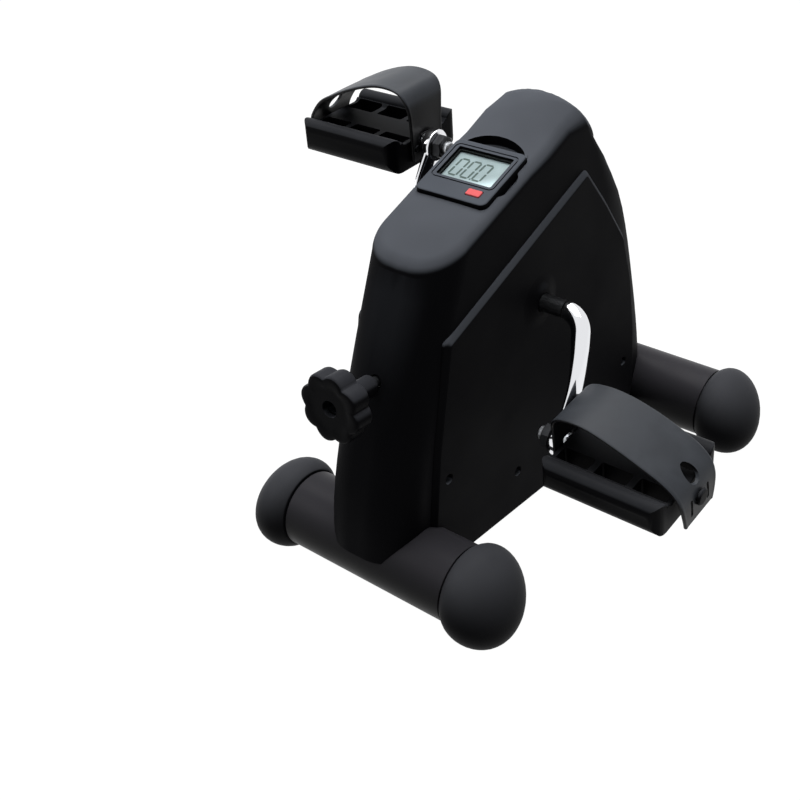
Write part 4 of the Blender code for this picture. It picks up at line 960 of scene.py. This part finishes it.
class BIKE_OT_cranks(bpy.types.Operator):
    """Bent chrome crank arms with their nuts, and the axle they stand on"""
    bl_idname = "bike.cranks"
    bl_label = "Cranks"

    def execute(self, context):
        for word, side in SIDES.items():
            place_piece(f"{word}_arm", arm_mesh(side), CRANKS, "chrome",
                        replaces=f"{word}_crank_arm", matrix=CRANK_FRAME)
            place_piece(f"{word}_nut", nut_mesh(side), CRANKS, "zinc_steel", "dark_steel",
                        f"{word}_spindle_nut", CRANK_FRAME)
            refinish("zinc_steel", f"{word}_pedal_spindle")
            refinish("grey_nylon", f"{word}_axle_bush")
            refinish("satin_black_steel", f"{word}_upright")
        refinish("dark_steel", "crank_axle")
        refinish("grey_nylon", "brake_wheel")
        refinish("zinc_steel", "wheel_magnet", "front_rivet", "rear_rivet")
        refinish("satin_black_steel", "base_beam")
        return {"FINISHED"}


# Pedals and straps

PEDAL_INNER_X = 94.6
PEDAL_WIDTH = 89
PEDAL_OUTER_X = PEDAL_INNER_X + PEDAL_WIDTH
PEDAL_HALF_LENGTH = 41
PEDAL_PITCH = {"left": math.radians(6), "right": math.radians(10)}
WINDOW = (24, 14)
WINDOW_PLACES = [(x, y) for y in (-18.5, 18.5) for x in (-29, 0, 29)]  # from the middle
STRAP_HALF_WIDTH = 22.5
STRAP_HALF_THICK = 1.2
STRAP_CROWN = 0.5
PEG_Y = 12.6
STRAP_RISE = {-1: 1.14, 1: 1.0}  # the left band stands a little higher
STRAP_PATH = [(93, -9), (93, 8), (93, 23), (94.4, 32), (98.8, 37.6), (107, 40), (119, 40.2),
              (132, 37.8), (147, 33.2), (162, 27.2), (176, 20.6), (185.6, 12.6), (189.6, 4),
              (190.8, -6), (191, -15)]  # x, z from the spindle, middle of the band
STRAP_HOLES = [(4, 0), (6, 15.5)]  # radius, height over the spindle
STRAP_SLOT = (2.6, 13)
SLOT_PLACES = [(-10.5, -3), (10.5, -3)]  # y, z of their middles
STRAP_WIDTHS = [(0, 0.78), (0.1, 0.8), (0.24, 0.95), (0.4, 1.0), (0.6, 1.06), (0.85, 1.0),
                (1, 0.8)]  # share of its length, share of its full width
# Right half of the band's section, upper side and under side: share of the half width and of
# the half thickness, with a low raised border
STRAP_TOP = [(0, 0.78), (0.5, 0.78), (0.84, 0.8), (0.88, 0.94), (0.93, 1.0), (0.97, 0.92),
             (0.995, 0.55), (1, 0)]
STRAP_UNDER = [(0.995, -0.55), (0.97, -0.92), (0.93, -1), (0.5, -1), (0, -1)]


def pedal_frame(word):
    """The pedal's frame: origin on its spindle, turned to its rest pitch."""
    eye = CRANK_FRAME @ Vector((0, 0, -SIDES[word] * CRANK_RADIUS))
    return Matrix.Translation(eye) @ Matrix.Rotation(PEDAL_PITCH[word], 4, "X")


def pedal_profile():
    """Side view of the pedal, (y, z): flat underneath, a raised round lip front and rear."""
    end = PEDAL_HALF_LENGTH
    lip = circle(7, 15, (end - 7, 6.5), math.radians(-20), math.radians(180))
    under = [(end - 13, -14), (end - 9, -13.2), (end - 5.6, -11.2), (end - 3, -8),
             (end - 1.2, -4)]
    right = under + lip + [(end - 15, 9.6), (end - 17, 7.6), (end - 19, 7)]
    return right + [(-y, z) for y, z in reversed(right)]


def cross_rod(side, radius, inner, outer, count, y=0, z=0):
    """A round bar across one pedal, between two distances from the middle of the bike."""
    return rod(radius, *sorted((side * inner, side * outer)), "X", count, (0, y, z))


def pedal_mesh(side):
    """The moulded pedal: windows between ribs, a bore for the spindle, and the pegs that
    hold the strap, two at its inner end and one with a head at its outer end."""
    middle = side * (PEDAL_INNER_X + PEDAL_WIDTH / 2)
    shift = Matrix.Translation((middle, 0, 0))
    body = plate(pedal_profile(), -PEDAL_WIDTH / 2, PEDAL_WIDTH / 2, 1.2, 3, shift @ SIDE_VIEW)
    plan = rounded_rectangle(PEDAL_WIDTH, 2 * PEDAL_HALF_LENGTH, 10)
    tools = [(plate(plan, -30, 30, matrix=shift), KEEP)]
    for x, y in WINDOW_PLACES:
        tools.append((block((*WINDOW, 60), (middle + x, y, 0), 1.5), CUT))
    tools.append((cross_rod(side, 4.85, 80, 169, 40), CUT))
    for y in (-PEG_Y, PEG_Y):
        tools.append((cross_rod(side, 2.6, PEDAL_INNER_X - 3.7, PEDAL_INNER_X + 2, 24, y), JOIN))
    outer = PEDAL_OUTER_X
    peg = [(3.6, outer - 2), (3.6, outer + 8.6), (6, outer + 8.6), (6, outer + 9.8),
           (5.2, outer + 10.6), (3.6, outer + 10.8)]
    tools.append((lathe(peg, count=40, side=side), JOIN))
    return carved(body, tools, 35)


def strap_centre(side, t):
    """Point of the band's middle line, t from 0 inside to 1 outside, and its direction."""
    path = [(x, z * (STRAP_RISE[side] if z > 20 else 1)) for x, z in STRAP_PATH]

    def at(u):
        k = min(max(u, 0), 1) * (len(path) - 1)
        x, z = (through([(i, point[axis]) for i, point in enumerate(path)], k)
                for axis in (0, 1))
        return Vector((x, 0, z))

    return at(t), (at(t + 0.004) - at(t - 0.004)).normalized()


def strap_mesh(side):
    """The wide moulded band, with round edges and a low raised border along each."""
    section = ([(-a, b) for a, b in reversed(STRAP_TOP[1:])] + STRAP_TOP + STRAP_UNDER
               + [(-a, b) for a, b in reversed(STRAP_UNDER[:-1])])
    rings = []
    steps = 84
    for i in range(steps + 1):
        t = i / steps
        centre, along = strap_centre(side, t)
        normal = Vector((-along.z, 0, along.x))
        half = STRAP_HALF_WIDTH * through(STRAP_WIDTHS, t)
        ring = []
        for across, out in section:
            lift = STRAP_CROWN * (1 - across * across) * math.sin(math.pi * t)
            point = centre + normal * (out * STRAP_HALF_THICK + lift)
            ring.append((side * point.x, across * half, point.z))
        rings.append(ring)
    # Inner end: the gap round the spindle, and the holes for the two pegs
    tools = [(block((12, 15.4, 40), (side * 93, 0, -10), 1.5), CUT)]
    for y in (-PEG_Y, PEG_Y):
        tools.append((cross_rod(side, 2.9, 87, 99, 24, y), CUT))
    # Outer end: the hole for the peg, the larger one above it, and a slot on each side
    for radius, z in STRAP_HOLES:
        tools.append((cross_rod(side, radius, 170, 200, 32, z=z), CUT))
    for place in SLOT_PLACES:
        tools.append((block((30, *STRAP_SLOT), (side * 190, *place), 1), CUT))
    return carved(loft(rings, 50), tools, 40)


class BIKE_OT_pedals(bpy.types.Operator):
    """Both moulded pedals, with the wide strap that is pegged over each"""
    bl_idname = "bike.pedals"
    bl_label = "Pedals and straps"

    def execute(self, context):
        for word, side in SIDES.items():
            where = pedal_frame(word)
            place_piece(f"{word}_foot_pedal", pedal_mesh(side), PEDALS[word], "black_abs",
                        "pedal_abs", f"{word}_pedal", where)
            place_piece(f"{word}_foot_strap", strap_mesh(side), PEDALS[word], "strap_pvc",
                        replaces=f"{word}_strap", matrix=where)
        return {"FINISHED"}


# Monitor

DISPLAY = (43, 27.4, (0, 5))  # width, height, and its middle on the monitor's face
KEY = (11, 5.6, (15, -17.6))
CASE_WALL, CASE_FACE = 1.7, 2
CELL_BOTTOM, CELL_TOP = -4.8, -3.6
DIGIT_HEIGHT = 16
DIGIT_WIDTH = 6.4
DIGIT_STEP = 9.6
DIGIT_SLANT = 0.08
BAR = 1.5


def outline_round(place, more_width, more_height, radius):
    """A rounded outline round the display or the key, larger than it all round."""
    width, height, middle = place
    return rounded_rectangle(width + more_width, height + more_height, radius, middle)


def digit_bars(left, foot):
    """The lit bars of a zero on a seven-segment display, each a flat six-sided outline."""
    right, mid, top = left + DIGIT_WIDTH, foot + DIGIT_HEIGHT / 2, foot + DIGIT_HEIGHT
    ends = (((left, top), (right, top)), ((right, top), (right, mid)),
            ((right, mid), (right, foot)), ((left, foot), (right, foot)),
            ((left, mid), (left, foot)), ((left, top), (left, mid)))
    bars = []
    for start, end in ends:
        a, b = Vector(start), Vector(end)
        along = (b - a).normalized()
        across = Vector((-along.y, along.x)) * BAR / 2
        a, b = a + along * 0.25, b - along * 0.25
        point = along * BAR / 2
        outline = (a, a + point + across, b - point + across, b, b - point - across,
                   a + point - across)
        bars.append([(p.x + (p.y - foot) * DIGIT_SLANT, p.y) for p in outline])
    return bars


def display_bars(count):
    """A row of zeros on the left of the display, with a dot before the last."""
    left, foot = -17, DISPLAY[2][1] - DIGIT_HEIGHT / 2 - 0.8
    bars = []
    for index in range(count):
        bars += digit_bars(left + index * DIGIT_STEP, foot)
    dot = left + DIGIT_WIDTH + (count - 2) * DIGIT_STEP + 1.5
    bars.append([(dot, foot - 0.6), (dot + 1.2, foot - 0.6), (dot + 1.2, foot + 0.6),
                 (dot, foot + 0.6)])
    return bars


def case_mesh():
    """The monitor's case: hollow behind, with a sloped window, a groove round it and a key
    opening."""
    case = plate(rounded_rectangle(MONITOR_WIDTH, MONITOR_LENGTH, 4.5), -MONITOR_DEPTH, 0, 1.2)
    hollow = block((MONITOR_WIDTH - 2 * CASE_WALL, MONITOR_LENGTH - 2 * CASE_WALL,
                    MONITOR_DEPTH), (0, 0, -MONITOR_DEPTH / 2 - CASE_FACE))
    window = plate(outline_round(DISPLAY, 0.8, 0.8, 0.8), -20, 2)
    slope = loft([[(x, y, z) for x, y in outline_round(DISPLAY, grow, grow, 0.8 + grow / 3)]
                  for grow, z in ((0.8, -0.4), (1.6, 0.2))])
    groove = carved(plate(outline_round(DISPLAY, 8, 7, 4), -0.8, 2),
                    [(plate(outline_round(DISPLAY, 6, 5, 3), -1, 3), CUT)])
    opening = plate(outline_round(KEY, 0.8, 0.8, 1), -20, 2)
    return carved(case, [(tool, CUT) for tool in (hollow, window, slope, groove, opening)], 40)


def gasket_shade_frame_mesh():
    """The black frame under the window, down to the display cell: gasket and painted shade."""
    return carved(plate(outline_round(DISPLAY, 0.6, 0.6, 0.8), CELL_TOP + 0.1, -1.8),
                  [(plate(outline_round(DISPLAY, -1.6, -1.6, 1), -6, 1), CUT)])


def button_mesh():
    """The button's cap, with the flange that keeps it in the case."""
    cap = plate(outline_round(KEY, 0, 0, 1), -5, 0.8, 0.6)
    return carved(cap, [(plate(outline_round(KEY, 2.2, 2, 1), -3.6, -2.4), JOIN)], 40)


class BIKE_OT_monitor(bpy.types.Operator):
    """The monitor: bezel, display with its digits, the button and the boards behind"""
    bl_idname = "bike.monitor"
    bl_label = "Monitor"

    def execute(self, context):
        pane = plate(outline_round(DISPLAY, 0, 0, 0.6), -1.7, -0.5, 0.15, 2)
        cell = plate(rounded_rectangle(47, 31, 0.6, DISPLAY[2]), CELL_BOTTOM, CELL_TOP, 0.2, 2)
        bars = joined([plate(bar, CELL_TOP + 0.02, CELL_TOP + 0.1) for bar in display_bars(3)])
        for name, mesh, body, slot, finish, node in (
                ("bezel", case_mesh(), BODY, "black_abs", "bezel_abs", "monitor_case"),
                ("pane", pane, BODY, "display_glass", None, "display_window"),
                # A black gasket that also stands for the shade in the window's recess: painted
                # shade.
                ("display_gasket_and_shade", gasket_shade_frame_mesh(), BODY, "black_rubber", None, None),
                ("display_cell", cell, BODY, "lcd", None, "lcd_panel"),
                ("digits", bars, BODY, "lcd", "lcd_segment", None),
                ("button_cap", button_mesh(), BUTTON, "red_button", None, "mode_button")):
            place_piece(name, mesh, body, slot, finish, node, MONITOR_SEAT)
        refinish("board_green", "circuit_board")
        refinish("black_abs", "monitor_back", "reed_sensor")
        refinish("zinc_steel", "button_cell")
        refinish("black_rubber", "sensor_wire")
        return {"FINISHED"}


# Stage, in metres

LENS_PIXELS = 1181.273  # focal length in pixels of a frame 800 wide
SENSOR_WIDTH = 36
CAMERA_AZIMUTH = math.radians(39.4254)
CAMERA_ELEVATION = math.radians(30.7695)
CAMERA_ROLL = math.radians(-0.0928)
CAMERA_DISTANCE = 0.945196
CAMERA_TARGET = (-0.081423, -0.046284, 0.069992)  # from the datum
FLOOR_REACH = 4.0
FLOOR_DROP = 0.0001  # keeps the floor clear of the flats of the caps
FLOOR_GLOW = 1.14  # with FLOOR_SHARE, the floor shows white and keeps the shadow
FLOOR_SHARE = 0.88
LAMP_TARGET = (0, 0, 0.15)


def add_lamp(name, place, size, power):
    """A square soft lamp that looks at the bike."""
    lamp = bpy.data.lights.new(name, "AREA")
    lamp.size = size
    lamp.energy = power
    obj = add_object(name, lamp)
    obj.location = place
    away = Vector(place) - Vector(LAMP_TARGET)
    obj.rotation_euler = away.to_track_quat("Z", "Y").to_euler()


def seen_share(tree):
    """1 for rays from the camera, a mirror or through glass, which see the plain background."""
    rays = add_node(tree, "ShaderNodeLightPath").outputs
    first = add_node(tree, "ShaderNodeMath", {
        0: rays["Is Camera Ray"], 1: rays["Is Glossy Ray"]}, operation="MAXIMUM")
    return add_node(tree, "ShaderNodeMath", {0: first, 1: rays["Is Transmission Ray"]},
                    operation="MAXIMUM")


def add_floor():
    mesh = bpy.data.meshes.new("floor")
    mesh.from_pydata([(x * FLOOR_REACH, y * FLOOR_REACH, 0)
                      for x, y in ((-1, -1), (1, -1), (1, 1), (-1, 1))], [], [(0, 1, 2, 3)])
    floor = add_object("floor", mesh)
    floor.location.z = -FLOOR_DROP
    made = bpy.data.materials.new("pale_floor")
    tree = empty_tree(made)
    paint = add_node(tree, "ShaderNodeBsdfDiffuse", {"Color": (*linear("#bebebe"), 1)})
    glow = add_node(tree, "ShaderNodeEmission", {"Color": (1, 1, 1, 1), "Strength": FLOOR_GLOW})
    share = add_node(tree, "ShaderNodeMath", {0: seen_share(tree), 1: FLOOR_SHARE},
                     operation="MULTIPLY")
    mesh.materials.append(end_material(made, "ShaderNodeMixShader", {
        0: share, 1: paint, 2: glow}))


def add_world(sky):
    """White where it is seen, and a faint even light on the bike."""
    world = bpy.data.worlds.new("studio")
    bpy.context.scene.world = world
    tree = empty_tree(world)
    strength = add_node(tree, "ShaderNodeMapRange", {
        "Value": seen_share(tree), "To Min": sky, "To Max": 1.0})
    background = add_node(tree, "ShaderNodeBackground", {
        "Color": (1, 1, 1, 1), "Strength": strength})
    add_node(tree, "ShaderNodeOutputWorld", {"Surface": background})


def add_camera():
    lens = bpy.data.cameras.new("camera")
    lens.sensor_width = SENSOR_WIDTH
    lens.lens = LENS_PIXELS * SENSOR_WIDTH / 800
    lens.clip_start, lens.clip_end = 0.01, 20
    camera = add_object("camera", lens)
    level = math.cos(CAMERA_ELEVATION)
    back = Vector((math.sin(CAMERA_AZIMUTH) * level, -math.cos(CAMERA_AZIMUTH) * level,
                   math.sin(CAMERA_ELEVATION)))
    camera.location = (Vector(CAMERA_TARGET) + Vector((0, DATUM_Y * MM, 0))
                       + back * CAMERA_DISTANCE)
    aim = (-back).to_track_quat("-Z", "Y").to_matrix()
    camera.rotation_euler = (aim @ Matrix.Rotation(CAMERA_ROLL, 3, "Z")).to_euler()
    bpy.context.scene.camera = camera


class BIKE_OT_stage(bpy.types.Operator):
    """Pale floor, soft lamps, the world and the camera"""
    bl_idname = "bike.stage"
    bl_label = "Stage"

    def execute(self, context):
        settings = context.scene.bike_stage
        add_floor()
        add_world(settings.sky)
        add_lamp("overhead", (-0.15, 0.1, 1.5), 1.4, settings.top_power)
        add_lamp("front_left", (-1.3, -1.2, 1.0), 0.9, settings.front_power)
        add_camera()
        context.scene.view_settings.view_transform = "Standard"
        return {"FINISHED"}


class BIKE_OT_finishes(bpy.types.Operator):
    """Makes every finish before the pieces that take them"""
    bl_idname = "bike.finishes"
    bl_label = "Finishes"

    def execute(self, context):
        make_finishes(context.scene.bike_colours)
        return {"FINISHED"}


class BIKE_PT_sidebar(bpy.types.Panel):
    """Lists the builders of the bike's pieces, and their sizes"""
    bl_label = "Mini exercise bike"
    bl_idname = "BIKE_PT_sidebar"
    bl_space_type = "VIEW_3D"
    bl_region_type = "UI"
    bl_category = "Exercise bike"

    def draw(self, context):
        for builder in BUILDERS:
            self.layout.operator(builder.bl_idname)
        scene = context.scene
        for group in (scene.bike_sizes, scene.bike_colours, scene.bike_stage):
            for key in group.bl_rna.properties.keys():
                if key not in ("rna_type", "name"):
                    self.layout.prop(group, key)


BUILDERS = (BIKE_OT_finishes, BIKE_OT_stage, BIKE_OT_housing, BIKE_OT_feet, BIKE_OT_tension,
            BIKE_OT_cranks, BIKE_OT_pedals, BIKE_OT_monitor)
GROUPS = {"bike_colours": BikeColours, "bike_sizes": BikeSizes, "bike_stage": BikeStageSettings}
CLASSES = (*GROUPS.values(), *BUILDERS, BIKE_PT_sidebar)


def register():
    for item in CLASSES:
        bpy.utils.register_class(item)
    for name, group in GROUPS.items():
        setattr(bpy.types.Scene, name, PointerProperty(type=group))


def unregister():
    for name in GROUPS:
        delattr(bpy.types.Scene, name)
    for item in reversed(CLASSES):
        bpy.utils.unregister_class(item)


def main():
    register()
    for builder in BUILDERS:
        group, name = builder.bl_idname.split(".")
        getattr(getattr(bpy.ops, group), name)()


if __name__ == "__main__":
    main()
